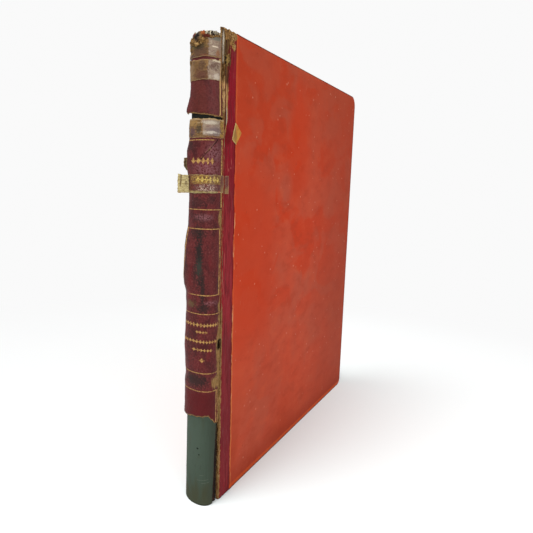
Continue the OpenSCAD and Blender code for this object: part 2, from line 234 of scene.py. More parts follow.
def lift(u, z):
    """How far a sheet is lifted at share u and height z, most at its rear edge."""
    return smooth((LIFT_ROOT - u) / (LIFT_ROOT - LIFT_FULL)) * edge_lift(z)


def flag_place(root, inner_lay):
    """Like spine_place, but below the share root the sheet leaves the spine and runs straight."""
    face = np.array([-FLAG_WAY[1], FLAG_WAY[0]])
    face = face if face[1] < 0 else -face

    def place(u, z, out):
        u, z, out = np.broadcast_arrays(*(np.asarray(v, float) for v in (u, z, out)))
        stuck = spine_place(np.maximum(u, root), z, out + lift(np.maximum(u, root), z))
        loose = spine_place(root, z, inner_lay + lift(root, z))
        loose[..., :2] += np.maximum(root - u, 0)[..., None] * BEYOND * FLAG_WAY + (out - inner_lay)[..., None] * face
        return np.where((u < root)[..., None], loose, stuck)

    return place


def points_of(x, y, z):
    """Points in the row frame from three grids or numbers."""
    return np.stack(np.broadcast_arrays(x, y, z), -1).astype(float)


def front_face(y, z, x):
    """Points in the row frame from their place on the front cover."""
    return points_of(x, y, z)


# Meshes

def new_piece(name, points, faces, body, finish, marks=None, crease=40):
    """A mesh object in the row frame from points in millimetres, riding on a body."""
    points = np.asarray(points, float)
    used, faces = np.unique(np.asarray(faces), return_inverse=True)
    faces = faces.reshape(-1, 4)
    mesh = bpy.data.meshes.new(name)
    mesh.from_pydata((points[used] * MM).tolist(), [], faces.tolist())
    for mark, values in (marks or {}).items():
        layer = mesh.attributes.new(mark, "FLOAT", "POINT")
        layer.data.foreach_set("value", np.asarray(values, np.float32)[used])
    work = bmesh.new()
    work.from_mesh(mesh)
    bmesh.ops.recalc_face_normals(work, faces=work.faces)
    work.to_mesh(mesh)
    work.free()
    return settle(bpy.data.objects.new(name, mesh), body, finish, crease)


def settle(piece, body, finish, crease=40):
    """Links a finished mesh object, smooths it, gives it its finish and puts it on its body."""
    if piece.name not in bpy.context.scene.collection.objects:
        bpy.context.scene.collection.objects.link(piece)
    piece.data.materials.clear()
    piece.data.materials.append(finish)
    piece.data.polygons.foreach_set("use_smooth", [True] * len(piece.data.polygons))
    piece.data.polygons.foreach_set("material_index", [0] * len(piece.data.polygons))
    piece.data.set_sharp_from_angle(angle=math.radians(crease))
    if body:
        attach(piece, body)
    return piece


def shell_faces(rows, cols, keep):
    """Quads of a thin closed sheet over a grid: two faces and a wall wherever kept cells end."""
    index = np.arange(rows * cols).reshape(rows, cols)
    under = rows * cols
    a, b, c, d = index[:-1, :-1], index[:-1, 1:], index[1:, 1:], index[1:, :-1]
    parts = [np.stack([a, b, c, d], -1)[keep], np.stack([a, d, c, b], -1)[keep] + under]
    edge = np.pad(keep, 1)
    sides = [
        (edge[:-2, 1:-1], a, b), (edge[1:-1, 2:], b, c),
        (edge[2:, 1:-1], c, d), (edge[1:-1, :-2], d, a),
    ]
    for beside, p, q in sides:
        open_side = keep & ~beside
        parts.append(np.stack([q, p, p + under, q + under], -1)[open_side])
    return np.concatenate(parts)


def shell(name, place, a, b, top, under, body, finish, keep=None, marks=None, crease=40):
    """A thin closed sheet over the grid a, b, between the heights under and top."""
    rows, cols = a.shape
    keep = np.ones((rows - 1, cols - 1), bool) if keep is None else keep
    top, under = np.broadcast_to(top, a.shape), np.broadcast_to(under, a.shape)
    points = np.concatenate([place(a, b, top).reshape(-1, 3), place(a, b, under).reshape(-1, 3)])
    both = {"flesh": np.repeat([0.0, 1.0], rows * cols)}
    for mark, values in (marks or {}).items():
        flat = np.broadcast_to(values, a.shape).ravel()
        both[mark] = np.concatenate([flat, flat])
    return new_piece(name, points, shell_faces(rows, cols, keep), body, finish, both, crease)


def margins(a_mm, b_mm, cut=None):
    """Distance in millimetres from a sheet's nearest edge, on grids of place along and across it."""
    near = np.minimum(
        np.minimum(a_mm - a_mm[:, :1], a_mm[:, -1:] - a_mm),
        np.minimum(b_mm - b_mm[:1, :], b_mm[-1:, :] - b_mm),
    )
    return near if cut is None else np.minimum(near, cut)


def spine_grid(foot, head, rear, front, cell, torn, seed):
    """Shares and heights of a torn sheet's grid. Its edges are tables, made ragged."""
    height = max(p[1] for p in head) - min(p[1] for p in foot)
    width = (max(p[1] for p in front) - min(p[1] for p in rear)) * BEYOND
    s, q = np.meshgrid(steps(int(width / cell) + 1), steps(int(height / cell) + 1))
    low = lookup(s, foot) + tear(s * width, torn[0], seed)
    high = lookup(s, head) + tear(s * width, torn[1], seed + 10)
    z = mix(low, high, q)
    left = lookup(q, rear) + tear(z, torn[2] / BEYOND, seed + 20)
    right = lookup(q, front) + tear(z, torn[3] / BEYOND, seed + 30)
    return mix(left, right, s), z


def spine_sheet(name, lay, grid, finish, relief, thin=0.25, skive=1.2, keep=None, cut=None, place=None,
                lifted=True):
    """A leather or tape sheet bent over the spine, pared thin where it is torn."""
    u, z = grid
    edge = margins(u * BEYOND, z, cut)
    full = thin + (1 - thin) * smooth(edge / skive)
    rise = lift(u, z) if lifted else 0
    thick = lay[1] - lay[0]
    under = lay[0] + rise + np.maximum(relief, 0) * 0.5
    top = under + thick * full + relief * smooth(edge / 2)
    return shell(name, place or spine_place, u, z, np.maximum(top, under + 0.08), under, BLOCK, finish,
                 keep, {"share": u, "edge": edge})


# Colours and material nodes

def linear(colour):
    """The linear colour that a shader takes, from one given as it looks on screen, 0 to 255."""
    screen = (v / 255 for v in colour)
    return (*(v / 12.92 if v <= 0.04045 else ((v + 0.055) / 1.055) ** 2.4 for v in screen), 1)


class Wire:
    """One socket of a material, on which Python's operators add Math nodes."""

    def __init__(self, tree, socket):
        self.tree, self.socket = tree, socket

    def math(self, operation, *values, clamp=False):
        node = self.tree.nodes.new("ShaderNodeMath")
        node.operation, node.use_clamp = operation, clamp
        for socket, value in zip(node.inputs, values):
            plug(self.tree, socket, value)
        return Wire(self.tree, node.outputs[0])

    def __add__(self, other):
        return self.math("ADD", self, other)

    def __sub__(self, other):
        return self.math("SUBTRACT", self, other)

    def __rsub__(self, other):
        return self.math("SUBTRACT", other, self)

    def __mul__(self, other):
        return self.math("MULTIPLY", self, other)

    def __truediv__(self, other):
        return self.math("DIVIDE", self, other)

    __radd__, __rmul__ = __add__, __mul__

    def abs(self):
        return self.math("ABSOLUTE", self)

    def root(self):
        return self.math("SQRT", self)

    def sine(self):
        return self.math("SINE", self)

    def fract(self):
        return self.math("FRACT", self)

    def most(self, other):
        return self.math("MAXIMUM", self, other)

    def least(self, other):
        return self.math("MINIMUM", self, other)


def plug(tree, socket, value):
    """Links a wire or a socket to a socket, or sets the socket's own value."""
    value = value.socket if isinstance(value, Wire) else value
    if isinstance(value, bpy.types.NodeSocket):
        tree.links.new(value, socket)
    else:
        socket.default_value = value


def add_node(tree, kind, sockets, settings):
    """Any node of a tree: its settings first, then its sockets."""
    node = tree.nodes.new(kind)
    for key, value in settings.items():
        setattr(node, key, value)
    for key, value in (sockets or {}).items():
        plug(tree, node.inputs[key], value)
    return node


class Finish:
    """A material being built. add() makes any node; paint() lays one colour after another over its own colour."""

    def __init__(self, name):
        self.material = bpy.data.materials.new(name)
        self.material.use_nodes = True
        self.tree = self.material.node_tree
        self.tree.nodes.clear()
        self.point = self.add("ShaderNodeTexCoord", out="Object")
        axes = self.add("ShaderNodeSeparateXYZ", {"Vector": self.point}, out=None)
        self.x, self.y, self.z = (Wire(self.tree, s) * (1 / MM) for s in axes.outputs)

    def add(self, kind, sockets=None, out=0, **settings):
        node = add_node(self.tree, kind, sockets, settings)
        return node if out is None else Wire(self.tree, node.outputs[out])

    def mark(self, name):
        return self.add("ShaderNodeAttribute", out="Fac", attribute_name=name)

    def stretched(self, sx, sy, sz, shift=0.0):
        """The object's own coordinates in millimetres, divided by a grain size on each axis."""
        return self.add(
            "ShaderNodeMapping",
            {"Vector": self.point, "Scale": (1 / MM / sx, 1 / MM / sy, 1 / MM / sz), "Location": (shift,) * 3},
        )

    def grain(self, sx, sy=None, sz=None, detail=3, rough=0.55, shift=0.0, warp=0.0):
        """Cloudy noise about 0.5, with blobs of the given sizes in millimetres."""
        vector = self.stretched(sx, sy or sx, sz or sx, shift)
        return self.add(
            "ShaderNodeTexNoise",
            {"Vector": vector, "Scale": 1.0, "Detail": detail, "Roughness": rough, "Distortion": warp},
        )

    def rise(self, value, low, high, top=1.0):
        """0 below low, top above high, and smooth between them. low may be above high."""
        flip = low > high
        return self.add(
            "ShaderNodeMapRange",
            {"Value": value, "From Min": min(low, high), "From Max": max(low, high),
             "To Min": top if flip else 0.0, "To Max": 0.0 if flip else top},
            interpolation_type="SMOOTHSTEP",
        )

    def within(self, value, low, high, soft):
        """1 between low and high, fading over soft at both ends."""
        return self.rise(value, low - soft, low + soft) * self.rise(value, high + soft, high - soft)

    def spot(self, a, b, centre, size, soft=0.35, ragged_by=None, amount=0.5):
        """A round or oval mask about a centre, with a ragged rim."""
        da, db = (a - centre[0]) / size[0], (b - centre[1]) / size[1]
        away = (da * da + db * db).root()
        if ragged_by is not None:
            away = away + (ragged_by - 0.5) * (2 * amount)
        return self.rise(away, 1 + soft, 1 - soft)

    def over(self, below, above, mask):
        """The colour above laid over the colour below by a mask. Tuples are as they look on screen, 0 to 255."""
        node = self.tree.nodes.new("ShaderNodeMix")
        node.data_type = "RGBA"
        factor, colours = node.inputs[0], [s for s in node.inputs if s.type == "RGBA"]
        plug(self.tree, factor, mask)
        for socket, tone in zip(colours, (below, above)):
            plug(self.tree, socket, linear(tone) if isinstance(tone, tuple) else tone)
        return Wire(self.tree, next(s for s in node.outputs if s.type == "RGBA"))

    def paint(self, tone, mask):
        """Lays a colour over the finish's own by a mask."""
        self.colour = self.over(self.colour, tone, mask)

    def tint(self, tone, value, low, high, top=1.0):
        """Lays a colour over the finish's own as a value rises from low to high."""
        self.paint(tone, self.rise(value, low, high, top))

    def bump(self, height, distance, strength=1.0):
        return self.add("ShaderNodeBump", {"Height": height, "Distance": distance * MM, "Strength": strength})

    def done(self, roughness, normal=None, metallic=None, **fixed):
        """Ends the material. fixed are constant sockets of the shader, with underscores for spaces."""
        sockets = {"Base Color": self.colour, "Roughness": roughness}
        if normal is not None:
            sockets["Normal"] = normal
        if metallic is not None:
            sockets["Metallic"] = metallic
        sockets.update({key.replace("_", " "): value for key, value in fixed.items()})
        surface = self.add("ShaderNodeBsdfPrincipled", sockets)
        self.add("ShaderNodeOutputMaterial", {"Surface": surface}, out=None)
        return self.material


finishes = {}


def finish(make, *choice):
    """A material, made once for each choice."""
    key = (make.__name__, *choice)
    if key not in finishes:
        finishes[key] = make(*choice)
    return finishes[key]


# The book's colours, as they look on screen

CREAM, CREAM_DARK, PAPER_WHITE = (214, 196, 158), (160, 134, 96), (240, 234, 218)
TAN, TAN_DARK, TAN_PALE = (158, 122, 74), (96, 68, 38), (196, 168, 120)
GLUE_AND_GROOVE_SHADE = (44, 30, 20)
MAROON, MAROON_DARK, MAROON_RED = (101, 42, 42), (68, 30, 31), (114, 30, 34)
MAROON_RUBBED, STAIN = (126, 72, 69), (42, 36, 34)
GILT, GILT_WORN = (206, 163, 94), (146, 100, 60)
STRIP, STRIP_BRIGHT, STRIP_DARK = (127, 32, 39), (148, 18, 38), (88, 24, 28)
ORANGE, ORANGE_DULL = (203, 80, 53), (190, 86, 64)
ORANGE_EDGE, ORANGE_SCUFF = (208, 116, 68), (208, 104, 74)
GREEN, GREEN_PALE, GREEN_OLIVE = (64, 76, 64), (78, 92, 80), (66, 68, 50)
OCHRE, OCHRE_DARK = (140, 102, 54), (92, 64, 34)
GLAZE, GLAZE_HIGHLIGHT, GLAZE_PINK = (154, 132, 110), (190, 172, 150), (132, 100, 88)
FLAG_CREAM, AMBER, AMBER_SHADED = (204, 188, 134), (204, 144, 44), (176, 132, 46)


def leaf_paper():
    """Old leaves: each a little different in tone, browned at their edges and dusty at the head."""
    f = Finish("Leaf paper")
    leaf = f.grain(0.22, 300, 300, detail=1)
    cloud = f.grain(34, detail=4)
    f.colour = f.over(CREAM, CREAM_DARK, f.rise(leaf, 0.42, 0.72, 0.5))
    f.tint(PAPER_WHITE, cloud, 0.4, 0.76, 0.22)
    dust = f.rise(f.z, LEAVES_HIGH - 1.2, LEAVES_HIGH - 0.2) * f.rise(f.y, 14, 22)
    dirt = dust * f.rise(f.grain(9, 30, 9, detail=4), 0.3, 0.7, 0.55)
    f.paint((112, 96, 76), dirt)
    fore = f.rise(f.y, LEAVES_Y - 7, LEAVES_Y - 1) * f.rise(f.grain(5, 5, 40, detail=4), 0.42, 0.72, 0.5)
    f.paint((134, 104, 68), fore)
    height = leaf * 0.6 + f.grain(0.3, 1.2, 1.2) * 0.4
    return f.done(0.86, f.bump(height, 0.12, 0.5), Specular_IOR_Level=0.15)


def fold_paper():
    """The backs of the sections: pale paper with patches of brown glue, and painted shade in the grooves between them.
    """
    f = Finish("Section folds")
    groove = f.mark("groove")
    glue = f.rise(f.grain(3, 3, 9, detail=4), 0.48, 0.7, 0.5) * f.rise(f.z, LEAVES_HIGH - 6, LEAVES_HIGH - 10)
    f.colour = f.over((228, 216, 186), (150, 112, 66), glue)
    middle, half = (LEAVES_LOW + LEAVES_HIGH) / 2, (LEAVES_HIGH - LEAVES_LOW) / 2
    legs = f.rise(groove, 1.05, 1.3) * f.rise((f.z - middle).abs(), half - 2.2, half - 0.9)
    # Near-black down the sides of the folds and their arms: painted shade in the grooves between the sections, left off
    # at the arms' ends
    f.paint(GLUE_AND_GROOVE_SHADE, f.rise(groove, 0.4, 0.8, 0.95) * (1 - legs))
    f.paint((168, 148, 112), legs * f.rise(f.grain(0.6, 9, 9, detail=3), 0.3, 0.6, 0.8))
    return f.done(0.82, f.bump(f.grain(0.5, 0.5, 3), 0.15, 0.5), Specular_IOR_Level=0.15)


def mull_cloth():
    """Open-woven cotton, stiff and browned with glue."""
    f = Finish("Mull")
    threads = (f.y * 6.5).sine().abs().most((f.z * 6.5).sine().abs())
    f.colour = f.over((92, 70, 44), (196, 176, 134), f.rise(threads, 0.6, 0.95))
    f.tint((120, 88, 52), f.grain(6, detail=4), 0.5, 0.7, 0.6)
    return f.done(0.9, f.bump(threads, 0.15, 0.7))


def cord_fibre():
    """Twisted flax cord, soaked in old glue."""
    f = Finish("Sewing cord")
    twist = (f.x * 2.2 + f.z * 3.0).sine() * 0.5 + 0.5
    f.colour = f.over((112, 84, 50), (176, 146, 98), twist)
    return f.done(0.85, f.bump(twist, 0.2, 0.8))


def lining_cloth():
    """Green book cloth on card: a fine weave, streaked and handled, browned at the foot, bare card at its edges."""
    f = Finish("Lining cloth")
    u, edge = f.mark("share"), f.mark("edge")
    across = u * BEYOND
    weave = (across * 9).sine().abs() * 0.5 + (f.z * 9).sine().abs() * 0.5
    streak = f.grain(0.5, 0.5, 22, detail=4, rough=0.65)
    cloud = f.grain(9, 9, 26, detail=3, warp=0.5)
    f.colour = f.over(GREEN, GREEN_PALE, f.rise(streak, 0.42, 0.78, 0.45))
    f.paint(GREEN_PALE, f.spot(u, f.z, (0.33, 48), (0.28, 26), 0.8) * 0.7)
    f.tint(GREEN_OLIVE, cloud + f.rise(f.z, 26, 2, 0.35), 0.5, 0.85, 0.9)
    f.tint((62, 68, 56), u, 0.75, 0.97, 0.6)
    f.tint((58, 62, 54), f.grain(0.9, 0.9, 5, detail=5), 0.6, 0.72, 0.5)
    speck = f.grain(0.5, detail=2)
    for at, size in (((0.515, 41.7), (0.02, 0.6)), ((0.545, 37.4), (0.014, 0.5))):
        f.paint((26, 28, 24), f.spot(u, f.z, at, size, 0.3, speck, 0.6))
    for z0, u0, u1 in ((18.6, 0.5, 0.78), (16.8, 0.6, 0.82), (22.4, 0.56, 0.66)):
        line = f.rise(((f.z - z0) - (u - u0) * 4).abs(), 0.34, 0.1) * f.within(u, u0, u1, 0.03)
        f.paint((88, 98, 84), line * f.rise(speck, 0.3, 0.55, 0.7))
    worn = f.rise(edge + (f.grain(1.2, detail=4) - 0.5) * 1.6, 0.55, 0.05)
    f.paint((50, 46, 34), worn * 0.8)
    f.tint((46, 48, 40), f.z, 1.4, 0.3, 0.8)
    f.paint((116, 96, 66), f.mark("flesh"))
    # Under the leather's edge at the break and along the front joint the cloth is near-black: painted shade, which
    # shows in the gap at the break. Above the break, by the joint, it is bare brown card with red threads.
    gap_shade_and_bare_card = f.rise(f.z, 251, 255).most(f.rise(u, 0.955, 0.985, 0.9) * f.rise(f.z, 90, 100))
    thread = f.grain(0.6, 0.6, 8, detail=4, shift=3)
    bare = f.over((160, 112, 68), (84, 50, 32), f.rise(thread, 0.44, 0.58))
    bare = f.over(bare, (158, 66, 54), f.within(f.z, 259, 278, 2) * f.rise(thread, 0.4, 0.52, 0.9))
    dark = f.over((22, 18, 14), bare, f.rise(f.z, 257.5, 259) * f.rise(u, 0.93, 0.955))
    f.paint(dark, gap_shade_and_bare_card * 0.92)
    bump = f.bump(weave + streak * 0.8, 0.06, 0.5)
    return f.done(f.rise(streak, 0.3, 0.8, 0.12) + 0.66, bump, Specular_IOR_Level=0.12)


def leather_grain(f):
    """Height of calf: fine pores, shallow creases and rubbed patches."""
    pores = f.add("ShaderNodeTexVoronoi", {"Vector": f.stretched(0.9, 0.9, 0.9), "Scale": 1.0}, out="Distance")
    creases = f.grain(1.6, 1.6, 0.8, detail=5, rough=0.66)
    return pores * 0.6 + creases


def rule_across(f, u, z, u0, u1, half=0.3):
    """A straight gilt line across the spine."""
    return f.rise((f.z - z).abs(), half + 0.14, half - 0.1) * f.within(u, u0, u1, 0.006)


def rule_up(f, u, at, z0, z1, half=0.012, lean=0.0):
    """A straight gilt line up the spine. lean is how far it moves across over its own length."""
    line = (u - at) - (f.z - z0) * (lean / (z1 - z0))
    return f.rise(line.abs(), half + 0.006, half - 0.005) * f.within(f.z, z0, z1, 0.2)


def ornament_row(f, u, z, u0, u1, tall, pitch, fat=0.42):
    """A row of small gilt lozenges with a dot between each two."""
    along = (u - u0) * (BEYOND / pitch)
    cell = (along.fract() - 0.5).abs() * pitch
    up = (f.z - z).abs()
    lozenge = f.rise(cell * (1 / (fat * pitch)) + up * (2 / tall), 1.08, 0.8)
    beside = ((along + 0.5).fract() - 0.5).abs() * pitch
    dot = f.rise((beside * beside + up * up).root(), 0.42, 0.26)
    return lozenge.most(dot) * f.within(u, u0, u1, 0.004)


def spine_leather(piece):
    """Maroon calf on the spine: stained, rubbed, tooled with worn gilt, torn back to its tan flesh."""
    f = Finish(f"Spine leather {piece}")
    u, edge = f.mark("share"), f.mark("edge")
    cloud = f.grain(5, 5, 9, detail=5, rough=0.6, warp=0.4)
    fine = f.grain(0.8, detail=4, rough=0.7)
    tiny = f.grain(0.35, detail=2)
    pebble = f.grain(1.1, detail=3, rough=0.7, shift=12)
    f.colour = f.over(MAROON, MAROON_DARK, f.rise(cloud, 0.42, 0.68, 0.85))
    f.tint(MAROON_RUBBED, pebble, 0.53, 0.68, 0.5)
    f.tint(MAROON_DARK, pebble, 0.46, 0.36, 0.6)
    f.tint(MAROON_RED, f.grain(7, 7, 14, detail=3, shift=9), 0.54, 0.72, 0.5)
    if piece == "main":
        foot = f.rise(f.z, 84, 80)
        f.paint((90, 25, 28), foot * 0.8)
        for at, size, depth in (
            ((0.53, 172), (0.06, 17), 0.95), ((0.5, 187), (0.16, 3), 0.7), ((0.6, 152), (0.04, 10), 0.8),
            ((0.63, 139), (0.13, 3), 0.75), ((0.48, 90), (0.22, 4.5), 0.8), ((0.42, 120), (0.1, 12), 0.4),
            ((0.56, 196), (0.13, 3), 0.5), ((0.47, 206), (0.16, 3), 0.5), ((0.45, 161), (0.03, 7), 0.5),
            ((0.2, 165), (0.07, 20), 0.5), ((0.3, 240), (0.1, 3), 0.6), ((0.75, 208), (0.1, 2.4), 0.4),
        ):
            f.paint(STAIN, f.spot(u, f.z, at, size, 0.5, pebble, 1.6) * depth)
        f.paint((64, 68, 58), f.spot(u, f.z, (0.53, 165), (0.05, 5), 0.6, pebble, 2.2) * 0.5)
        f.paint((112, 92, 58), f.spot(u, f.z, (0.36, 141), (0.09, 1.8), 0.6, pebble, 2.4) * 0.6)
        rubbed = f.spot(u, f.z, (0.85, 236), (0.24, 7), 0.5, pebble, 1.4).most(
            f.spot(u, f.z, (0.7, 227), (0.34, 5), 0.5, pebble, 1.4)).most(
            f.spot(u, f.z, (0.62, 197), (0.2, 2.2), 0.5, pebble, 1.4)).most(
            f.spot(u, f.z, (0.8, 142.5), (0.16, 1.6), 0.5, pebble, 1.0))
        f.paint((136, 88, 92), rubbed * f.rise(pebble, 0.4, 0.6, 0.9))
        # The crack: a thin dark line of painted shade, with a thin tan painted highlight along one lip
        crack = u - CRACK_U + (CRACK_Z - f.z) * CRACK_LEAN + (fine - 0.5) * 0.06
        split = f.rise(crack.abs(), 0.014, 0.004) * f.within(f.z, 231.5, 244.5, 0.6)
        lit_crack_lip = f.rise((crack + 0.026).abs(), 0.014, 0.004) * f.within(f.z, 236, 244, 0.6)
        f.paint((150, 106, 84), lit_crack_lip * f.rise(fine, 0.42, 0.56, 0.6))
        f.paint((30, 14, 12), split)
        rules = [rule_across(f, u, *row) for row in (
            (243.8, 0.16, 0.82, 0.22), (201.8, 0.16, 1.05, 0.22), (189.8, 0.16, 1.0, 0.24), (147.5, 0.3, 0.99, 0.26),
            (135.2, 0.14, 1.04, 0.2), (95.4, 0.14, 1.02, 0.22), (83, 0.12, 0.97, 0.24),
        )]
        rules += [rule_up(f, u, *row) for row in (
            (1.054, 203, 244.5, 0.032), (1.003, 147, 190, 0.014, 0.01), (1.075, 141, 201, 0.018),
            (0.15, 150, 189.8, 0.016, 0.1), (0.965, 60, 83, 0.012),
        )]
        stamps = [ornament_row(f, u, *row) for row in (
            (231.3, 0.36, 0.82, 4.6, 2.76), (127.9, 0.2, 1.02, 3.0, 2.05), (123.2, 0.47, 0.71, 2.2, 1.8),
            (116.8, 0.2, 1.0, 2.7, 2.0), (111.2, 0.41, 0.83, 2.3, 2.1), (104.3, 0.54, 0.66, 3.4, 3.6),
        )]
        hole = f.spot(u, f.z, (1.055, HOLE_Z), (0.06, 3.8), 0.3, fine, 0.6)
    else:
        f.paint((118, 70, 66), f.rise(u, 0.5, 0.85, 0.45) * f.rise(fine, 0.3, 0.6))
        f.paint((92, 44, 34), f.spot(u, f.z, (0.48, 268), (0.16, 14), 0.6, cloud, 0.8) * 0.5)
        rules = [rule_up(f, u, 0.974, 257, 291, 0.018, -0.036)]
        right = f.rise(u, 0.995, 1.01)
        f.paint((96, 40, 34), right * 0.8)
        stamps = []
        hole = None
    gilt = rules[0]
    for mask in rules[1:] + stamps:
        gilt = gilt.most(mask)
    gone = f.rise(f.grain(1.3, detail=4, shift=4), 0.38, 0.54) * f.rise(tiny, 0.34, 0.48)
    bright = gilt * gone
    if piece == "head":
        bright = gilt * f.rise(tiny, 0.3, 0.44)
    f.paint(GILT_WORN, gilt * 0.7)
    f.paint((222, 180, 112) if piece == "head" else GILT, bright)
    rim = edge + (f.grain(1.1, 1.1, 2.2, detail=5, rough=0.65) - 0.5) * 2.6
    sound = f.rise(f.z, 137, 141) * f.rise(f.z, 243, 240) * f.rise(u, 1.0, 1.03)
    flesh = f.rise(rim, 0.85, 0.3) * (1 - sound)
    if piece == "main":
        chew = f.grain(1.2, 1.2, 3.6, detail=5, rough=0.7, shift=2)
        side_edge = u + (chew - 0.5) * 0.3
        ragged_side = f.rise(side_edge + f.within(f.z, 86, 122, 4) * 0.035, 1.0, 1.03) * f.rise(f.z, 137, 133)
        for at, size in (((1.03, 196.5), (0.07, 5.4)), ((1.04, 139), (0.06, 3.4)), ((0.93, 88.5), (0.1, 3.8)),
                         ((1.0, 112), (0.06, 9))):
            ragged_side = ragged_side.most(f.spot(u, f.z, at, size, 0.3, chew, 0.9))
        flesh = flesh.most(ragged_side) * f.rise(f.grain(0.7, 0.7, 3.0, detail=3, shift=15), 0.3, 0.4, 1.0)
        turned = f.rise((u - 0.115).abs(), 0.04, 0.015) * f.rise(f.z, 190, 186)
        flesh = flesh.most(turned * f.rise(chew, 0.44, 0.56, 0.6))
    tan = f.over(TAN, TAN_DARK, f.rise(f.grain(0.5, 0.5, 2.5, detail=4), 0.42, 0.66, 0.7))
    tan = f.over(tan, TAN_PALE, f.rise(tiny, 0.55, 0.72, 0.6))
    f.paint(tan, flesh)
    # Near-black green round the hole: painted shade in the hole
    if hole is not None:
        f.paint((34, 44, 34), hole)
    f.paint(tan, f.mark("flesh") * (1 - sound))
    height = leather_grain(f) * 1.3 - gilt * 0.9 + flesh * 0.6
    rough = f.rise(fine, 0.35, 0.7, 0.16) + 0.42 + flesh * 0.3
    return f.done(rough, f.bump(height, 0.2, 0.8), bright * 0.4, Specular_IOR_Level=0.1)


def cover_leather(side):
    """The leather strip beside the joint: crimson under the head, streaked up and down, torn tan at the joint."""
    f = Finish(f"Cover leather {side}")
    edge, across = f.mark("edge"), f.mark("across")
    streak = f.grain(0.9, 0.9, 18, detail=5, rough=0.66)
    thread = f.grain(0.6, 0.6, 9, detail=3, shift=4)
    patch = f.grain(3.4, 3.4, 30, detail=3, shift=7)
    f.colour = f.over(STRIP, STRIP_DARK, f.rise(streak, 0.46, 0.66, 0.85))
    f.tint((146, 40, 46), patch, 0.5, 0.7, 0.7)
    head = f.rise(f.z, 205, 235) * f.rise(f.z, 300, 284)
    f.paint(STRIP_BRIGHT, head * f.rise(streak, 0.66, 0.42, 0.85))
    middle = f.within(f.z, 118, 205, 12)
    f.paint((160, 42, 50), middle * f.rise(streak, 0.62, 0.42, 0.7))
    f.paint((118, 44, 50), f.within(f.z, 20, 125, 20) * f.rise(thread, 0.45, 0.6, 0.55))
    f.tint((156, 84, 84), thread, 0.6, 0.72, 0.55)
    f.tint((58, 22, 24), thread, 0.38, 0.3, 0.5)
    f.paint((104, 16, 20), f.spot(across, f.z, (3.6, 247), (4, 5), 0.4, streak, 0.8) * 0.8)
    for at, size in (
        ((5.8, 214), (0.25, 5)), ((4.0, 228), (0.2, 3.5)), ((8.6, 232), (0.3, 2)), ((2.2, 170), (0.3, 4)),
        ((5.4, 226.7), (0.5, 0.8)), ((8, 228), (0.5, 0.7)), ((1.6, 150), (0.3, 4)), ((0.9, 158), (0.3, 5)),
    ):
        f.paint((196, 110, 96), f.spot(across, f.z, at, size, 0.4, thread, 1.2) * 0.5)
    chew = f.grain(0.9, 0.9, 3, detail=5, rough=0.68)
    rim = edge + (chew - 0.5) * 2.2
    open_joint = f.rise(f.z, 141, 134).most(f.rise(f.z, 246, 251) * (1 - f.within(f.z, 279, 294, 1.5)))
    torn = f.rise(rim, 0.6, 0.15) * f.rise(across, 6.5, 5.0) * open_joint
    if side == "front":
        cap = f.z - 302.6 - (across - 7.6) * 0.75 + (f.grain(1.7, detail=5, rough=0.66) - 0.5) * 6
        torn = torn.most(f.rise(cap, 0.2, 0.9) * f.rise(across, 13.5, 12))
    tan = f.over((172, 128, 74), (108, 72, 36), f.rise(chew, 0.44, 0.62, 0.85))
    tan = f.over(tan, (204, 168, 112), f.rise(thread, 0.56, 0.68, 0.6))
    f.paint(tan, torn.most(f.mark("flesh") * open_joint * 0.9))
    # Dark line along the bottom edge: painted contact shadow where the strip meets the floor
    f.tint((62, 22, 22), f.z, 1.1, 0.5)
    height = streak * 1.4 + leather_grain(f) * 0.8 + torn * chew * 2
    return f.done(f.rise(streak, 0.3, 0.7, 0.14) + 0.44, f.bump(height, 0.16, 0.7), Specular_IOR_Level=0.06)


def torn_skin():
    """Where leather has come away from the board: brown flesh, glue and dark red shreds, running up and down."""
    f = Finish("Torn skin")
    streak = f.grain(0.7, 0.7, 9, detail=5, rough=0.66)
    patch = f.grain(1.6, 1.6, 7, detail=4, shift=5)
    across = f.y - JOINT_Y
    f.colour = f.over((116, 84, 44), (62, 30, 22), f.rise(streak, 0.42, 0.58))
    f.paint((104, 26, 24), f.rise(patch, 0.5, 0.6, 0.85) * f.rise(across, 1.4, 2.6))
    low = f.rise(f.z, 281, 277)
    red = f.over((104, 36, 34), (74, 26, 24), f.rise(streak, 0.44, 0.58))
    f.paint(red, low * f.rise(across + (patch - 0.5) * 2, 1.2, 0.7))
    pale = f.rise(across + (patch - 0.5) * 2.4, 0.9, 1.3) * f.rise(across + (streak - 0.5) * 3, 3.4, 2.6)
    torn = f.over((196, 154, 100), (136, 96, 56), f.rise(streak, 0.46, 0.6))
    f.paint(torn, pale * f.within(f.z, 263, 278, 1.5) * 0.95)
    line = f.rise((across - 2.5 + (patch - 0.5) * 1.6).abs(), 0.5, 0.2) * f.within(f.z, 252, 264, 1.5)
    f.paint((204, 190, 172), line * 0.85)
    f.tint(GLUE_AND_GROOVE_SHADE, f.grain(0.7, 0.7, 5, shift=3), 0.6, 0.68, 0.8)
    return f.done(0.78, f.bump(streak, 0.35, 0.9), Specular_IOR_Level=0.12)


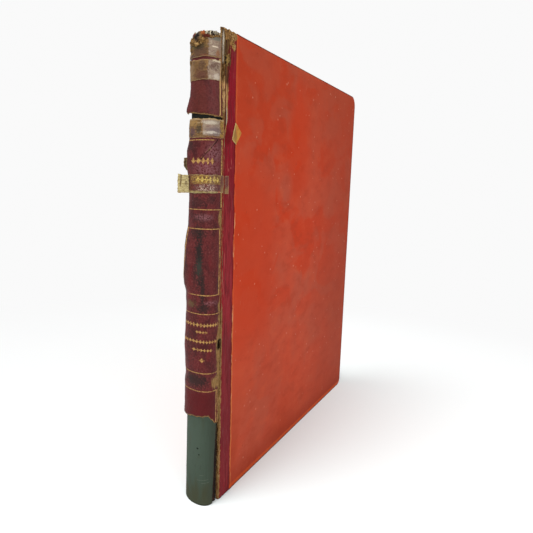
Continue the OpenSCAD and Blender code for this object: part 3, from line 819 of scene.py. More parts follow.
def board_edge():
    """The worn spine edge of a board: card and leather fibres, red under the joint leather, with painted shade inwards,
    beside the hole and along the foot.
    """
    f = Finish("Board edge")
    inwards = f.x.abs()
    layer = f.grain(0.35, 3, 12, detail=4, rough=0.6)
    chew = f.grain(0.8, 0.8, 2.4, detail=5, rough=0.68)
    f.colour = f.over((158, 120, 70), (96, 62, 32), f.rise(layer, 0.42, 0.6))
    f.tint((200, 166, 112), chew, 0.52, 0.66, 0.9)
    f.tint((84, 30, 26), f.grain(0.5, 0.5, 7, shift=6), 0.54, 0.64, 0.8)
    red = f.rise(f.z + (chew - 0.5) * 14, 132, 140) * f.rise(f.z, 258, 250)
    f.paint(f.over((150, 40, 44), (190, 74, 66), f.rise(chew, 0.5, 0.64, 0.8)), red * 0.94)
    head = f.rise(f.z, 289, 292)
    grey = f.over((238, 228, 208), (172, 154, 130), f.rise(layer, 0.46, 0.62))
    f.paint(grey, head * f.rise(inwards + (chew - 0.5) * 1.2, 11.5, 11.1))
    f.paint((96, 78, 44), head * f.rise(inwards + (chew - 0.5) * 0.8, 11.4, 11.7) * 0.9)
    torn = f.within(f.z + (chew - 0.5) * 3, 262, 280, 2)
    f.paint((240, 196, 138), torn * f.rise(chew, 0.36, 0.48, 0.9))
    # Near-black patch beside the hole in the spine leather: painted shade seen through the hole
    f.tint((30, 28, 20), (f.z - HOLE_Z + (chew - 0.5) * 2).abs(), 3.9, 3.2, 0.9)
    # Dark line along the bottom edge: painted contact shadow where the board meets the floor
    f.tint((62, 28, 20), f.z, 1.1, 0.5)
    # Below the head the board edge's inner part, deep in the joint, is near-black: painted shade in the joint's hollow,
    # reaching nearer the outer face towards the foot
    low = f.rise(f.z, 262, 256)
    dark = f.rise(inwards + (chew - 0.5) * 1.4 + f.rise(f.z, 40, 8, 0.7), 11.0, 10.5) * low * f.rise(red, 0.9, 0.5)
    f.paint((30, 16, 12), dark * 0.95)
    return f.done(0.84, f.bump(chew + layer, 0.3, 0.8), Specular_IOR_Level=0.1)


def pasteboard():
    """Grey-brown board with flecks and faint layers."""
    f = Finish("Pasteboard")
    layer = f.grain(0.3, 8, 8, detail=3)
    f.colour = f.over((148, 118, 82), (108, 82, 54), f.rise(layer, 0.4, 0.7, 0.8))
    f.tint((178, 154, 118), f.grain(0.6, detail=4), 0.58, 0.72, 0.6)
    return f.done(0.88, f.bump(layer + f.grain(0.5), 0.12, 0.5))


def siding_paper(side):
    """Glazed orange paper: cloudy, mottled, duller to the fore edge, its worn edge wavy and pale beside the strip."""
    f = Finish(f"Siding paper {side}")
    sign = SIGNS[side]
    far = 0 if side == "front" else 31
    cloud = f.grain(70, 60, 76, detail=4, rough=0.55, warp=0.3, shift=far)
    blotch = f.grain(40, 44, 30, detail=5, rough=0.48, warp=0.7, shift=far + 5)
    mid = f.grain(16, 16, 9, detail=4, rough=0.56, shift=far)
    fine = f.grain(1.9, detail=4, rough=0.72)
    tiny = f.grain(0.9, detail=2)
    scratch = f.grain(1.2, 0.9, 7, detail=3, rough=0.6, shift=far + 8)
    dots = f.add("ShaderNodeTexVoronoi", {"Vector": f.stretched(6.5, 6.5, 6.5), "Scale": 1.0}, out="Distance")
    along = (f.y - JOINT_Y) / (FORE_Y - JOINT_Y)
    up = f.z / BOOK_H
    f.colour = f.over(ORANGE, ORANGE_DULL, f.rise(cloud, 0.42, 0.64, 0.9))
    patch = f.rise(blotch + (cloud - 0.5) * 0.4, 0.47, 0.58)
    f.paint((208, 62, 28), patch * (0.85 - along * 0.2) * (f.rise(up, 0.28, 0.55, 0.8) + 0.2))
    f.tint((192, 92, 68), blotch, 0.48, 0.3, 0.4)
    f.tint((214, 94, 62), mid, 0.5, 0.7, 0.35)
    f.tint((168, 60, 38), mid, 0.5, 0.32, 0.3)
    f.tint((156, 68, 50), along, 0.45, 0.95, 0.62)
    f.tint((174, 70, 44), up - along * 0.1, 0.6, 0.95, 0.45)
    f.paint((214, 84, 54), f.rise(along, 0.26, 0.02, 0.45) * f.within(up, 0.1, 0.78, 0.15))
    foot = f.rise(up + along * 0.35, 0.34, 0.06)
    f.paint((166, 66, 42), foot * f.rise(cloud, 0.62, 0.42, 0.8))
    ragged = cloud * 0.5 + blotch * 0.5
    warm = f.spot(along, up, (0.12, 0.6), (0.16, 0.12), 0.6, ragged, 2).most(
        f.spot(along, up, (0.44, 0.8), (0.07, 0.13), 0.5, ragged, 2.4)).most(
        f.spot(along, up, (0.17, 0.45), (0.12, 0.1), 0.6, ragged, 2))
    f.paint((206, 62, 28), warm * 0.6)
    f.tint(ORANGE_SCUFF, scratch, 0.64, 0.74, 0.45)
    specks = f.rise(dots + (fine - 0.5) * 0.3, 0.14, 0.05, 0.6) * f.rise(f.grain(16, detail=3, shift=5), 0.46, 0.58)
    f.paint((226, 156, 128), specks)
    f.tint((140, 48, 28), f.grain(3, 3, 3, detail=5, shift=7), 0.67, 0.76, 0.5)
    spine_edge = f.y - (JOINT_Y + SIDING_START) + f.z * (SIDING_LEAN / BOOK_H)
    wave = (f.grain(5, 5, 9, detail=4, rough=0.6) - 0.5) * 3.2 + 0.35
    low = f.rise(f.z, 140, 118)
    line = f.rise(spine_edge - wave.most(0.0) - 0.2, 1.3, 0.6)
    broken = f.rise(f.grain(3, 3, 12, detail=3, shift=11), 0.38, 0.5)
    f.paint(ORANGE_EDGE, line * (low * 0.65 + 0.3) * broken)
    flecks = f.rise(f.grain(2, 2, 7, detail=3, shift=17), 0.56, 0.64) * f.within(f.z, 8, 205, 8)
    f.paint((226, 168, 118), line * flecks * 0.7)
    f.paint(STRIP, f.rise(spine_edge - wave, 0.15, -0.15) * f.rise(f.z, 262, 252))
    ends = f.z.least((f.z - BOOK_H).abs())
    rim = ends.least((f.y - FORE_Y).abs())
    bare = f.rise(rim + (fine - 0.5) * 1.6, 0.7, 0.1) * f.rise(mid, 0.5, 0.66)
    f.tint((152, 50, 28), f.z + along * 6, 24, 6, 0.35)
    f.tint((226, 96, 46), f.z + (fine - 0.5) * 2.4, 4.4, 3.0, 0.6)
    f.tint((92, 44, 32), (f.z - BOOK_H).abs() + (fine - 0.5) * 0.6, 1.0, 0.3, 0.8)
    f.tint((112, 40, 28), (f.y - FORE_Y).abs() + (fine - 0.5) * 0.6, 1.4, 0.3, 0.7)
    f.paint((160, 112, 72), bare * 0.8)
    # Dark line along the bottom edge: painted contact shadow where the siding meets the floor
    f.tint((82, 36, 22), f.z, 1.1, 0.5)
    inner = f.rise(f.x * sign, BOARD_IN + 0.2, BOARD_IN - 0.05)
    f.paint((170, 84, 56), inner * 0.6)
    gloss = f.rise(cloud, 0.3, 0.7, 0.1) + 0.5 + bare * 0.2
    return f.done(gloss, f.bump(fine * 0.7 + tiny * 0.4 + mid, 0.06, 0.5), Specular_IOR_Level=0.015)


def pastedown_paper():
    """Cream endpaper with foxing, browned where it lies over the turn-ins."""
    f = Finish("Pastedown paper")
    cloud = f.grain(44, detail=4)
    f.colour = f.over((216, 202, 170), (194, 174, 134), f.rise(cloud, 0.38, 0.72, 0.6))
    near = (f.y - JOINT_Y).least((f.y - FORE_Y).abs()).least(f.z.least((f.z - BOOK_H).abs()))
    f.tint((166, 136, 92), near + (cloud - 0.5) * 10, 19, 8, 0.7)
    fox = f.add("ShaderNodeTexVoronoi", {"Vector": f.stretched(14, 14, 14), "Scale": 1.0}, out="Distance")
    f.tint((150, 104, 58), fox + (f.grain(1.5) - 0.5) * 0.12, 0.1, 0.04, 0.55)
    return f.done(0.84, f.bump(f.grain(0.8, detail=4), 0.05, 0.4))


def aged_tape(piece):
    """Old sticky tape: brown and fibrous where it has perished, grey and glossy where it holds."""
    f = Finish(f"Aged tape {piece}")
    u, edge = f.mark("share"), f.mark("edge")
    fibre = f.grain(2.4, 2.4, 0.9, detail=5, rough=0.7)
    cloud = f.grain(3.2, 3.2, 2.4, detail=4, rough=0.62, warp=0.8)
    fine = f.grain(0.8, detail=4, rough=0.72)
    crease = f.grain(2.2, 2.2, 1.2, detail=5, rough=0.7, warp=1.4, shift=6)
    wave = (cloud - 0.5) * 0.12
    f.colour = f.over(OCHRE, OCHRE_DARK, f.rise(fibre, 0.42, 0.6, 0.95))
    f.tint((176, 140, 88), fine, 0.56, 0.68, 0.6)
    # The crease noise also drives the bump: the dark in its hollows is painted shade, and the pale glaze on its ridges
    # is painted highlight
    f.tint((66, 44, 24), crease, 0.42, 0.34, 0.7)
    glaze = f.over(GLAZE, GLAZE_PINK, f.rise(cloud, 0.46, 0.62, 0.85))
    glaze = f.over(glaze, GLAZE_HIGHLIGHT, f.rise(crease, 0.52, 0.64, 0.75))
    glaze = f.over(glaze, (104, 76, 58), f.rise(crease, 0.44, 0.36, 0.8))
    spots, halves, limit = {
        "crown": (
            [((90, 58, 34), (0.52, 294), (0.17, 4), 0.95), ((112, 96, 40), (0.46, 297.6), (0.16, 1.3), 0.7),
             ((84, 56, 34), (0.34, 300.4), (0.16, 1.6), 0.8), ((88, 60, 56), (0.3, 291.8), (0.12, 1.2), 0.7),
             ((120, 62, 38), (0.6, 291.6), (0.08, 1), 0.8), ((64, 44, 26), (0.52, 297.4), (0.08, 2), 0.8)],
            (0.655, 0.69), (292.0, 302.8)),
        "head": (
            [((112, 78, 36), (0.46, 284.8), (0.14, 4), 0.85), ((96, 54, 32), (0.55, 281), (0.13, 3), 1.0),
             ((150, 120, 88), (0.28, 284), (0.1, 5), 0.65), ((84, 54, 32), (0.56, 286.5), (0.05, 2.6), 0.7)],
            (0.645, 0.68), (278.3, 289.4)),
        "middle": (
            [((98, 66, 62), (0.36, 248.6), (0.1, 2.4), 1.0), ((66, 50, 28), (0.51, 250.4), (0.045, 3.4), 0.9),
             ((170, 132, 74), (0.34, 253.8), (0.18, 1.6), 0.7), ((70, 44, 40), (0.33, 246.9), (0.07, 1.0), 0.8),
             ((84, 56, 30), (0.2, 250), (0.03, 3), 0.7)],
            (0.565, 0.59), (246.4, 255.6)),
        "scrap": ([], None, None),
        "remnant": ([], None, None),
    }[piece]
    for tone, at, size, depth in spots:
        f.paint(tone, f.spot(u, f.z, at, size, 0.5, crease, 2.0) * depth)
    gloss = f.rise(u, 5, 6)
    if halves:
        gloss = f.rise(u + wave, *halves) * f.rise(u, 0.965, 0.94)
        gloss = gloss * f.within(f.z + (fine - 0.5) * 1.2, *limit, 0.35)
        f.paint(glaze, gloss * 0.94)
    if piece == "crown":
        glint = f.within(u, 0.74, 0.87, 0.02) * f.rise((f.z - 297.1 + (u - 0.8) * 2).abs(), 0.55, 0.1)
        f.paint((232, 212, 186), glint * 0.9)
        f.paint((104, 104, 92), f.spot(u, f.z, (0.82, 301.8), (0.13, 1.2), 0.4, fine, 0.9) * 0.85)
        f.paint((142, 92, 56), f.spot(u, f.z, (0.87, 293.6), (0.05, 2), 0.4, fine, 0.9) * 0.85)
        f.paint((60, 48, 30), f.rise((f.z - 303).abs(), 0.7, 0.2) * f.rise(u, 0.42, 0.5) * 0.8)
    if piece == "head":
        top = f.rise(f.z, 288.2, 289.2) * f.within(u, 0.76, 0.95, 0.02)
        f.paint((220, 204, 174), top * 0.85)
        f.paint((92, 58, 40), f.spot(u, f.z, (0.78, 286), (0.1, 1.8), 0.5, crease, 2.6) * 0.8)
        f.paint((208, 192, 172), f.spot(u, f.z, (0.85, 280.5), (0.08, 1.6), 0.5, crease, 2.6) * 0.8)
    if piece == "middle":
        golden = f.rise(u, 0.945, 0.965)
        f.paint(f.over((166, 128, 58), (104, 66, 34), f.rise(fibre, 0.44, 0.6)), golden)
        f.paint((112, 92, 94), f.spot(u, f.z, (0.82, 249.2), (0.15, 2.6), 0.5, cloud, 1.0) * 0.8)
        f.paint((204, 190, 172), f.spot(u, f.z, (0.74, 248.2), (0.15, 0.7), 0.5, crease, 2.4) * 0.85)
        f.paint((206, 192, 170), f.spot(u, f.z, (0.72, 254), (0.13, 1), 0.5, crease, 2.4) * 0.8)
        f.paint((196, 168, 126), f.rise(f.z, 255, 256) * f.rise(fine, 0.3, 0.6, 0.8))
        f.paint((120, 34, 30), f.rise(f.z, 246.2, 245.4, 0.8) * f.rise(u, 0.6, 0.66))
    if piece == "scrap":
        f.colour = f.over((104, 80, 42), (58, 36, 20), f.rise(fibre, 0.4, 0.6))
    if piece == "remnant":
        f.colour = f.over((116, 60, 52), (150, 116, 70), f.rise(f.z + (fine - 0.5) * 7, 217, 214))
        f.tint((92, 36, 34), crease, 0.5, 0.4, 0.7)
    rim = f.rise(edge + (fine - 0.5) * 0.9, 0.45, 0.1)
    f.paint((184, 154, 104), rim * 0.6)
    f.paint((108, 84, 54), f.mark("flesh") * 0.8)
    rough = f.rise(gloss, 0.9, 0.1, 0.4) + 0.24 + fine * 0.1
    height = fibre * 1.4 + cloud * 1.5 + crease * 2
    return f.done(rough, f.bump(height, 0.22, 0.8), Coat_Weight=0.1, Specular_IOR_Level=0.35)


def loose_tape():
    """The loose tape: cream where it stands off, golden over the gilding, clear over the leather below."""
    f = Finish("Loose tape")
    u, edge = f.mark("share"), f.mark("edge")
    fibre = f.grain(2.4, 2.4, 0.9, detail=5, rough=0.7)
    fine = f.grain(0.7, detail=4, rough=0.72)
    glitter = f.grain(0.7, 0.7, 0.5, detail=2, shift=3)
    gold = f.over((104, 66, 32), (168, 130, 56), f.rise(fibre, 0.44, 0.62))
    gold = f.over(gold, (84, 42, 30), f.rise(fine, 0.48, 0.36, 0.85))
    clear = f.over((100, 34, 28), (74, 22, 22), f.rise(fibre, 0.42, 0.6))
    clear = f.over(clear, (136, 74, 60), f.rise(fine, 0.53, 0.66, 0.7))
    line = f.z - LOOSE_Z + (fine - 0.5) * 2
    f.colour = f.over(clear, gold, f.rise(line, 5.4, 6.2) * f.rise(u, 0.29, 0.4, 0.95))
    stamps = ornament_row(f, u, LOOSE_Z + 8.6, 0.46, 0.94, 4.4, 2.4)
    f.paint((220, 190, 96), stamps * f.rise(fine, 0.4, 0.54, 0.9))
    spark = f.spot(u, f.z, (0.68, LOOSE_Z + 3.2), (0.19, 2.5), 0.5, fine, 1.2) * f.rise(glitter, 0.46, 0.58)
    f.paint((196, 172, 152), spark * 0.85)
    low = f.rise(line, 2.1, 1.2) * f.rise(u, 1.02, 0.98)
    f.paint(f.over((160, 142, 84), (104, 74, 44), f.rise(fibre, 0.46, 0.6)), low * 0.95)
    right = f.rise(u, 0.985, 1.01)
    f.paint(f.over((104, 52, 44), (142, 108, 62), f.rise(f.z, 219, 213)), right * 0.92)
    f.paint((186, 70, 34), f.spot(u, f.z, (0.95, LOOSE_Z + 0.8), (0.03, 0.9), 0.4, fine) * 0.95)
    flag = f.rise(u, 0.268, 0.24)
    cream = f.over(FLAG_CREAM, (160, 138, 84), f.rise(fibre, 0.44, 0.6, 0.9))
    brown = f.rise((u - 0.085 - (f.z - LOOSE_Z - 6) * 0.004 + (fine - 0.5) * 0.04).abs(), 0.022, 0.006)
    brown = brown * f.rise(f.z, LOOSE_Z + 3.2, LOOSE_Z + 4.5)
    ring = f.spot(u, f.z, (0.2, LOOSE_Z + 6), (0.03, 1.6), 0.4, fine, 0.8)
    cream = f.over(cream, (96, 70, 38), brown.most(ring * 0.7) * 0.85)
    cream = f.over(cream, (112, 74, 44), f.rise(u, 0.035, 0.018, 0.8))
    cream = f.over(cream, (150, 112, 68), f.rise(line, 0.9, 0.3, 0.7))
    f.paint(cream, flag)
    seam = f.rise((u - 0.285).abs(), 0.026, 0.01) * f.rise(f.z, LOOSE_Z + 1.6, LOOSE_Z + 3)
    f.paint((48, 34, 14), seam * 0.85)
    rim = f.rise(edge + (fine - 0.5) * 0.9, 0.4, 0.1)
    f.paint((196, 176, 122), rim * 0.5)
    f.paint((186, 168, 112), f.mark("flesh") * 0.8)
    rough = f.rise(fine, 0.3, 0.7, 0.16) + 0.28
    return f.done(rough, f.bump(fibre * 2 + fine, 0.16, 0.7), Coat_Weight=0.15, Specular_IOR_Level=0.35)


def amber_tape():
    """A flake of amber tape, darker along its spine side with painted shade, pale at its rim."""
    f = Finish("Amber tape")
    fine = f.grain(1.6, 1.6, 3, detail=4, rough=0.66)
    side = f.y - JOINT_Y + (fine - 0.5) * 3
    # Darker amber along the spine side: painted shade
    f.colour = f.over(AMBER, AMBER_SHADED, f.rise(side, 14, 12.6, 0.85))
    f.paint((176, 90, 26), f.rise(fine, 0.48, 0.62, 0.7) * f.rise(side, 12.5, 14))
    f.paint((128, 92, 34), f.spot(f.y - JOINT_Y, f.z, (12.3, 249), (1.6, 4), 0.6, fine, 2.0) * 0.6)
    rim = f.rise(f.mark("edge") + (fine - 0.5) * 0.8, 0.8, 0.35)
    f.paint((226, 196, 124), rim * f.rise(side, 14.5, 11.5) * 0.9)
    return f.done(0.32, f.bump(fine, 0.12, 0.5), Coat_Weight=0.2, Specular_IOR_Level=0.35)


def fibre_tan():
    """Loose leather and card fibres."""
    f = Finish("Torn fibres")
    f.colour = f.over((188, 156, 106), (112, 80, 46), f.rise(f.grain(2, detail=2), 0.42, 0.6))
    return f.done(0.85, Specular_IOR_Level=0.1)


def crumpled(kind):
    """Crumpled scraps of leather, tape and card at the head. The dark kind, near-black, also stands as painted shade
    for a crumb's shadow and in the open joint at the foot.
    """
    f = Finish(f"Scrap {kind}")
    low, high, pale = {
        "tuft": ((150, 112, 62), (62, 44, 26), (196, 160, 104)),
        "cap": ((166, 124, 70), (92, 58, 30), (206, 170, 116)),
        "olive": ((158, 124, 66), (96, 74, 36), (190, 158, 98)),
        "glue": ((158, 116, 70), (104, 66, 42), (196, 164, 112)),
        "dark": ((38, 20, 16), (18, 12, 10), (66, 38, 28)),
    }[kind]
    fine = f.grain(1.1, detail=5, rough=0.7)
    coarse = f.grain(2.2, detail=3, shift=5)
    f.colour = f.over(low, high, f.rise(fine, 0.42, 0.6))
    f.tint(pale, coarse, 0.54, 0.64, 0.7)
    if kind == "tuft":
        u = f.mark("share")
        slate = f.spot(u, f.z, (0.475, 303.2), (0.06, 2.8), 0.5, fine, 1.2)
        rust = f.spot(u, f.z, (0.59, 305), (0.035, 1.8), 0.4, fine, 1.0)
        red = f.spot(u, f.z, (0.64, 302.6), (0.06, 1.2), 0.4, fine, 1.0)
        f.paint(f.over((52, 48, 54), (30, 24, 26), f.rise(fine, 0.44, 0.58)), slate * 0.95)
        f.paint((160, 82, 40), rust * 0.9)
        f.paint((84, 20, 20), red * 0.9)
    if kind == "glue":
        thread = f.grain(0.6, 0.6, 7, detail=4)
        f.tint((60, 36, 24), thread, 0.52, 0.62, 0.8)
        f.paint((150, 62, 50), f.rise(f.z, 264, 258) * f.rise(thread, 0.36, 0.5))
        f.paint((226, 182, 124), f.within(f.z, 262, 280, 2) * f.rise(coarse, 0.42, 0.54))
        grey = f.over((240, 230, 212), (176, 158, 132), f.rise(fine, 0.42, 0.6))
        f.paint(grey, f.within(f.z + (fine - 0.5) * 3, 291, 303, 1.0))
    return f.done(0.8, f.bump(fine + coarse, 0.3, 0.9), Specular_IOR_Level=0.15)


def hinge_paper():
    """Endpaper in the joint: cream on the reader's side, and on the other dark brown, glue-stained and painted as shade
    for the joint's gap.
    """
    f = Finish("Hinge paper")
    fine = f.grain(1.2, detail=4)
    f.colour = f.over((206, 188, 150), (150, 120, 80), f.rise(fine, 0.45, 0.7, 0.6))
    # The back face is dark: glue-stained, and painted as shade so the joint's gap reads dark
    f.paint((52, 36, 24), f.mark("flesh"))
    return f.done(0.86, f.bump(fine, 0.08, 0.5))


# The text block

def leaf_x(k, count):
    """Middle of leaf k of the block, counted from the rear cover."""
    half = edge_of("front_pastedown", 0, 0) - 0.2
    return -half + (k + 0.5) * 2 * half / count


def backed(x, y, half=9.18):
    """How far the backing has pushed a leaf out sideways at the shoulders."""
    return np.sign(x) * np.abs(x / half) ** 3 * np.maximum(1 - np.abs(y - (JOINT_Y - 1)) / 1.2, 0) ** 0.8


def folio_path(section, nest, folios):
    """Plan of one folded sheet: down one arm, round the fold at the back, and down the other arm."""
    leaves = SECTIONS * folios * 2
    arc = np.linspace(-1, 1, 15)
    wide = 1 - (2 * nest + 1) / (2 * folios)
    share = mix(0.03, 0.97, (section + 0.5 + arc * wide / 2) / SECTIONS)
    dip = FOLD_DEPTH * (1 - np.sqrt(1 - np.clip(arc * 0.985, -1, 1) ** 2)) + nest * 0.24
    back = spine_place(share, BOOK_H, FOLD_OUT - dip)[:, :2]
    arms = []
    for end, k in ((back[0], section * 2 * folios + nest), (back[-1], (section + 1) * 2 * folios - 1 - nest)):
        x = leaf_x(k, leaves)
        t = steps(10)[1:, None]
        turn = [end, end + np.array([0, 2.6]), np.array([x, JOINT_Y - 2]), np.array([x, JOINT_Y + 4])]
        arm = sum(c * p for c, p in zip(((1 - t) ** 3, 3 * (1 - t) ** 2 * t, 3 * (1 - t) * t * t, t**3), turn))
        arm[:, 0] += backed(arm[:, 0], arm[:, 1]) * (t[:, 0] < 0.95)
        arms.append(arm)
    return np.concatenate([arms[0][::-1], back, arms[1]])


def path_normals(path):
    """Directions square to a path in plan."""
    way = np.gradient(path, axis=0)
    way /= np.maximum(np.linalg.norm(way, axis=1, keepdims=True), 1e-9)
    return np.stack([way[:, 1], -way[:, 0]], -1)


def band_mesh(path, normals, thick, zs):
    """Points and faces of a sheet standing on a path in plan."""
    sides = [np.concatenate([np.repeat(path + normals * o, len(zs), 0), np.tile(zs, len(path))[:, None]], 1)
             for o in (thick / 2, -thick / 2)]
    return np.concatenate(sides), shell_faces(len(path), len(zs), np.ones((len(path) - 1, len(zs) - 1), bool))


def make_section_folds(folios):
    """The folded backs of the sections, seen at the head and in open joints."""
    points, faces, groove, start = [], [], [], 0
    rng = np.random.default_rng(5)
    for section in range(SECTIONS):
        drop = rng.uniform(0, 0.7)
        for nest in range(folios):
            path = folio_path(section, nest, folios)
            zs = np.array([LEAVES_LOW, LEAVES_LOW + 4, 60, 150, 240, LEAVES_HIGH - 10, LEAVES_HIGH - 4, LEAVES_HIGH])
            zs[-1] -= drop * 0.5 + rng.uniform(0, 0.2)
            zs[0] += rng.uniform(0, 0.2)
            one, quads = band_mesh(path, path_normals(path), 0.17, zs)
            points.append(one)
            faces.append(quads + start)
            arc = np.abs(np.concatenate([np.full(9, 1.4), np.linspace(-1, 1, 15), np.full(9, 1.4)]))
            groove.append(np.tile(np.repeat(arc, len(zs)), 2))
            start += len(one)
    new_piece(
        "section_folds", np.concatenate(points), np.concatenate(faces), BLOCK, finish(fold_paper),
        {"groove": np.concatenate(groove)}, 60,
    )


# Geometry Nodes trees

class Grower:
    """A Geometry Nodes tree with named inputs. add() makes any node; grow() runs the tree on a base mesh."""

    def __init__(self, name, inputs):
        self.tree = bpy.data.node_groups.new(name, "GeometryNodeTree")
        self.face = {}
        self.tree.interface.new_socket("Geometry", in_out="OUTPUT", socket_type="NodeSocketGeometry")
        self.tree.interface.new_socket("Geometry", in_out="INPUT", socket_type="NodeSocketGeometry")
        for label, (kind, default) in inputs.items():
            socket = self.tree.interface.new_socket(label, in_out="INPUT", socket_type=f"NodeSocket{kind}")
            if default is not None:
                socket.default_value = default
            self.face[label] = socket.identifier
        self.entry = self.tree.nodes.new("NodeGroupInput")

    def given(self, label):
        return self.entry.outputs[label]

    def add(self, kind, sockets=None, out=0, **settings):
        node = add_node(self.tree, kind, sockets, settings)
        return node if out is None else node.outputs[out]

    def number(self, socket):
        return Wire(self.tree, socket)

    def value(self, label):
        return self.number(self.given(label))

    def close(self, geometry):
        """Realizes the instances, gives the material and ends the tree."""
        real = self.add("GeometryNodeRealizeInstances", {"Geometry": geometry})
        dressed = self.add("GeometryNodeSetMaterial", {"Geometry": real, "Material": self.given("Material")})
        leave = self.tree.nodes.new("NodeGroupOutput")
        self.tree.links.new(dressed, leave.inputs[0])

    def grow(self, name, base, values, body, slot, surface, crease=40):
        """Runs the tree on a base mesh and turns the result into a plain mesh piece."""
        bpy.context.scene.collection.objects.link(base)
        modifier = base.modifiers.new("Grow", "NODES")
        modifier.node_group = self.tree
        for label, value in {**values, "Material": surface}.items():
            modifier[self.face[label]] = value
        bpy.context.view_layer.update()
        grown = base.evaluated_get(bpy.context.evaluated_depsgraph_get())
        mesh = bpy.data.meshes.new_from_object(grown)
        mesh.name = name
        base.modifiers.remove(modifier)
        bpy.data.objects.remove(base)
        if not mesh.polygons:
            raise RuntimeError(f"{name} came out empty")
        return settle(bpy.data.objects.new(name, mesh), body, surface, crease)


def leaves_tree():
    """A stack of thin leaves side by side, uneven at head and fore edge, hollowed and gently waved."""
    g = Grower("Leaves", {
        "Count": ("Int", 90), "Thickness": ("Float", 0.018), "Start": ("Float", 0.015), "Length": ("Float", 0.24),
        "Foot": ("Float", 0.003), "Height": ("Float", 0.304), "Hollow": ("Float", 0.0035),
        "Unevenness": ("Float", 0.0003), "Wave": ("Float", 0.0004), "Seed": ("Int", 3), "Material": ("Material", None),
    })
    half = g.value("Thickness") * 0.5
    pitch = g.value("Thickness") / g.value("Count")
    middle = g.value("Foot") + g.value("Height") * 0.5
    centre = g.value("Start") + g.value("Length") * 0.5
    at = g.add("ShaderNodeCombineXYZ", {"X": pitch * 0.5 - half, "Y": centre, "Z": middle})
    step = g.add("ShaderNodeCombineXYZ", {"X": pitch})
    line = g.add("GeometryNodeMeshLine", {"Count": g.given("Count"), "Start Location": at, "Offset": step})
    size = g.add("ShaderNodeCombineXYZ", {"X": pitch * 0.82, "Y": g.given("Length"), "Z": g.given("Height")})
    leaf = g.add("GeometryNodeMeshCube", {"Size": size, "Vertices X": 2, "Vertices Y": 14, "Vertices Z": 7})
    number = g.add("GeometryNodeInputIndex")
    numbered = g.add("GeometryNodeStoreNamedAttribute", {"Geometry": line, "Name": "leaf", "Value": number},
                     data_type="INT", domain="POINT")
    stack = g.add("GeometryNodeInstanceOnPoints", {"Points": numbered, "Instance": leaf})
    real = g.add("GeometryNodeRealizeInstances", {"Geometry": stack})
    here = g.add("GeometryNodeInputPosition")
    axes = g.add("ShaderNodeSeparateXYZ", {"Vector": here}, out=None)
    x, y, z = (g.number(s) for s in axes.outputs)
    which = g.add("GeometryNodeInputNamedAttribute", {"Name": "leaf"}, data_type="INT")
    rest = []
    for shift in (0, 40, 80):
        salt = g.value("Seed") + shift
        value = g.add("FunctionNodeRandomValue", {"ID": which, "Seed": salt}, out="Value", data_type="FLOAT")
        value.node.inputs[2].default_value, value.node.inputs[3].default_value = 0.0, 1.0
        value = next(s for s in value.node.outputs if s.enabled and s.type == "VALUE")
        rest.append(g.number(value) * g.value("Unevenness"))
    along = (y - g.value("Start")) / g.value("Length")
    up = (z - middle) / (g.value("Height") * 0.5)
    side = x / half
    hollow = g.value("Hollow") * (1 - side * side)
    near_edge = along * along * along
    back = (hollow + rest[0]) * near_edge
    trim = up * up * up * (rest[1] + rest[2] * up.abs())
    cloud = g.add("ShaderNodeTexNoise", {"Vector": g.add("ShaderNodeVectorMath", {0: here, 1: (0.0, 22.0, 16.0)},
                  operation="MULTIPLY"), "Scale": 1.0, "Detail": 2.0})
    sway = (g.number(cloud) - 0.5) * 2 * g.value("Wave") * (1 - side * side) * (0.3 + along)
    shift = g.add("ShaderNodeCombineXYZ", {"X": sway, "Y": 0 - back, "Z": 0 - trim})
    moved = g.add("GeometryNodeSetPosition", {"Geometry": real, "Offset": shift})
    g.close(moved)
    return g


def fibres_tree():
    """Short tapered strands standing along the lines of the base mesh, tilted at random."""
    g = Grower("Torn fibres", {
        "Spacing": ("Float", 0.0006), "Length": ("Float", 0.0012), "Thickness": ("Float", 0.00012),
        "Spread": ("Float", 1.1), "Seed": ("Int", 11), "Material": ("Material", None),
    })
    curve = g.add("GeometryNodeMeshToCurve", {"Mesh": g.entry.outputs["Geometry"]})
    points = g.add("GeometryNodeCurveToPoints", {"Curve": curve, "Length": g.given("Spacing")}, out=None, mode="LENGTH")
    strand = g.add("GeometryNodeMeshCone", {
        "Vertices": 3, "Side Segments": 2, "Radius Top": 0.00002, "Radius Bottom": g.given("Thickness"),
        "Depth": g.given("Length"),
    })
    lean = g.add("GeometryNodeInputNamedAttribute", {"Name": "lean"}, data_type="FLOAT_VECTOR")
    seed = g.value("Seed")
    low = g.add("ShaderNodeCombineXYZ", {k: 0 - g.value("Spread") for k in ("X", "Y", "Z")})
    high = g.add("ShaderNodeCombineXYZ", {k: g.given("Spread") for k in ("X", "Y", "Z")})
    random = g.add("FunctionNodeRandomValue", {"Min": low, "Max": high, "Seed": seed}, data_type="FLOAT_VECTOR")
    way = g.add("ShaderNodeVectorMath", {0: lean, 1: random}, operation="ADD")
    turned = g.add("FunctionNodeAlignEulerToVector", {"Vector": way}, axis="Z")
    size = g.add("FunctionNodeRandomValue", {"Seed": seed + 7}, out=None, data_type="FLOAT")
    size.inputs[2].default_value, size.inputs[3].default_value = 0.35, 1.25
    scale = next(s for s in size.outputs if s.enabled and s.type == "VALUE")
    grown = g.add("GeometryNodeInstanceOnPoints", {
        "Points": points.outputs["Points"], "Instance": strand, "Rotation": turned, "Scale": scale,
    })
    g.close(grown)
    return g


def line_mesh(name, lines):
    """Edges along several polylines. Each is (points in millimetres, direction in which its fibres stand)."""
    points, edges, lean = [], [], []
    for path, way in lines:
        first = len(points)
        points += (np.asarray(path) * MM).tolist()
        edges += [(first + k, first + k + 1) for k in range(len(path) - 1)]
        lean += np.broadcast_to(way, (len(path), 3)).tolist()
    mesh = bpy.data.meshes.new(name)
    mesh.from_pydata(points, edges, [])
    layer = mesh.attributes.new("lean", "FLOAT_VECTOR", "POINT")
    layer.data.foreach_set("vector", np.asarray(lean, np.float32).ravel())
    return bpy.data.objects.new(name, mesh)


# Spine pieces

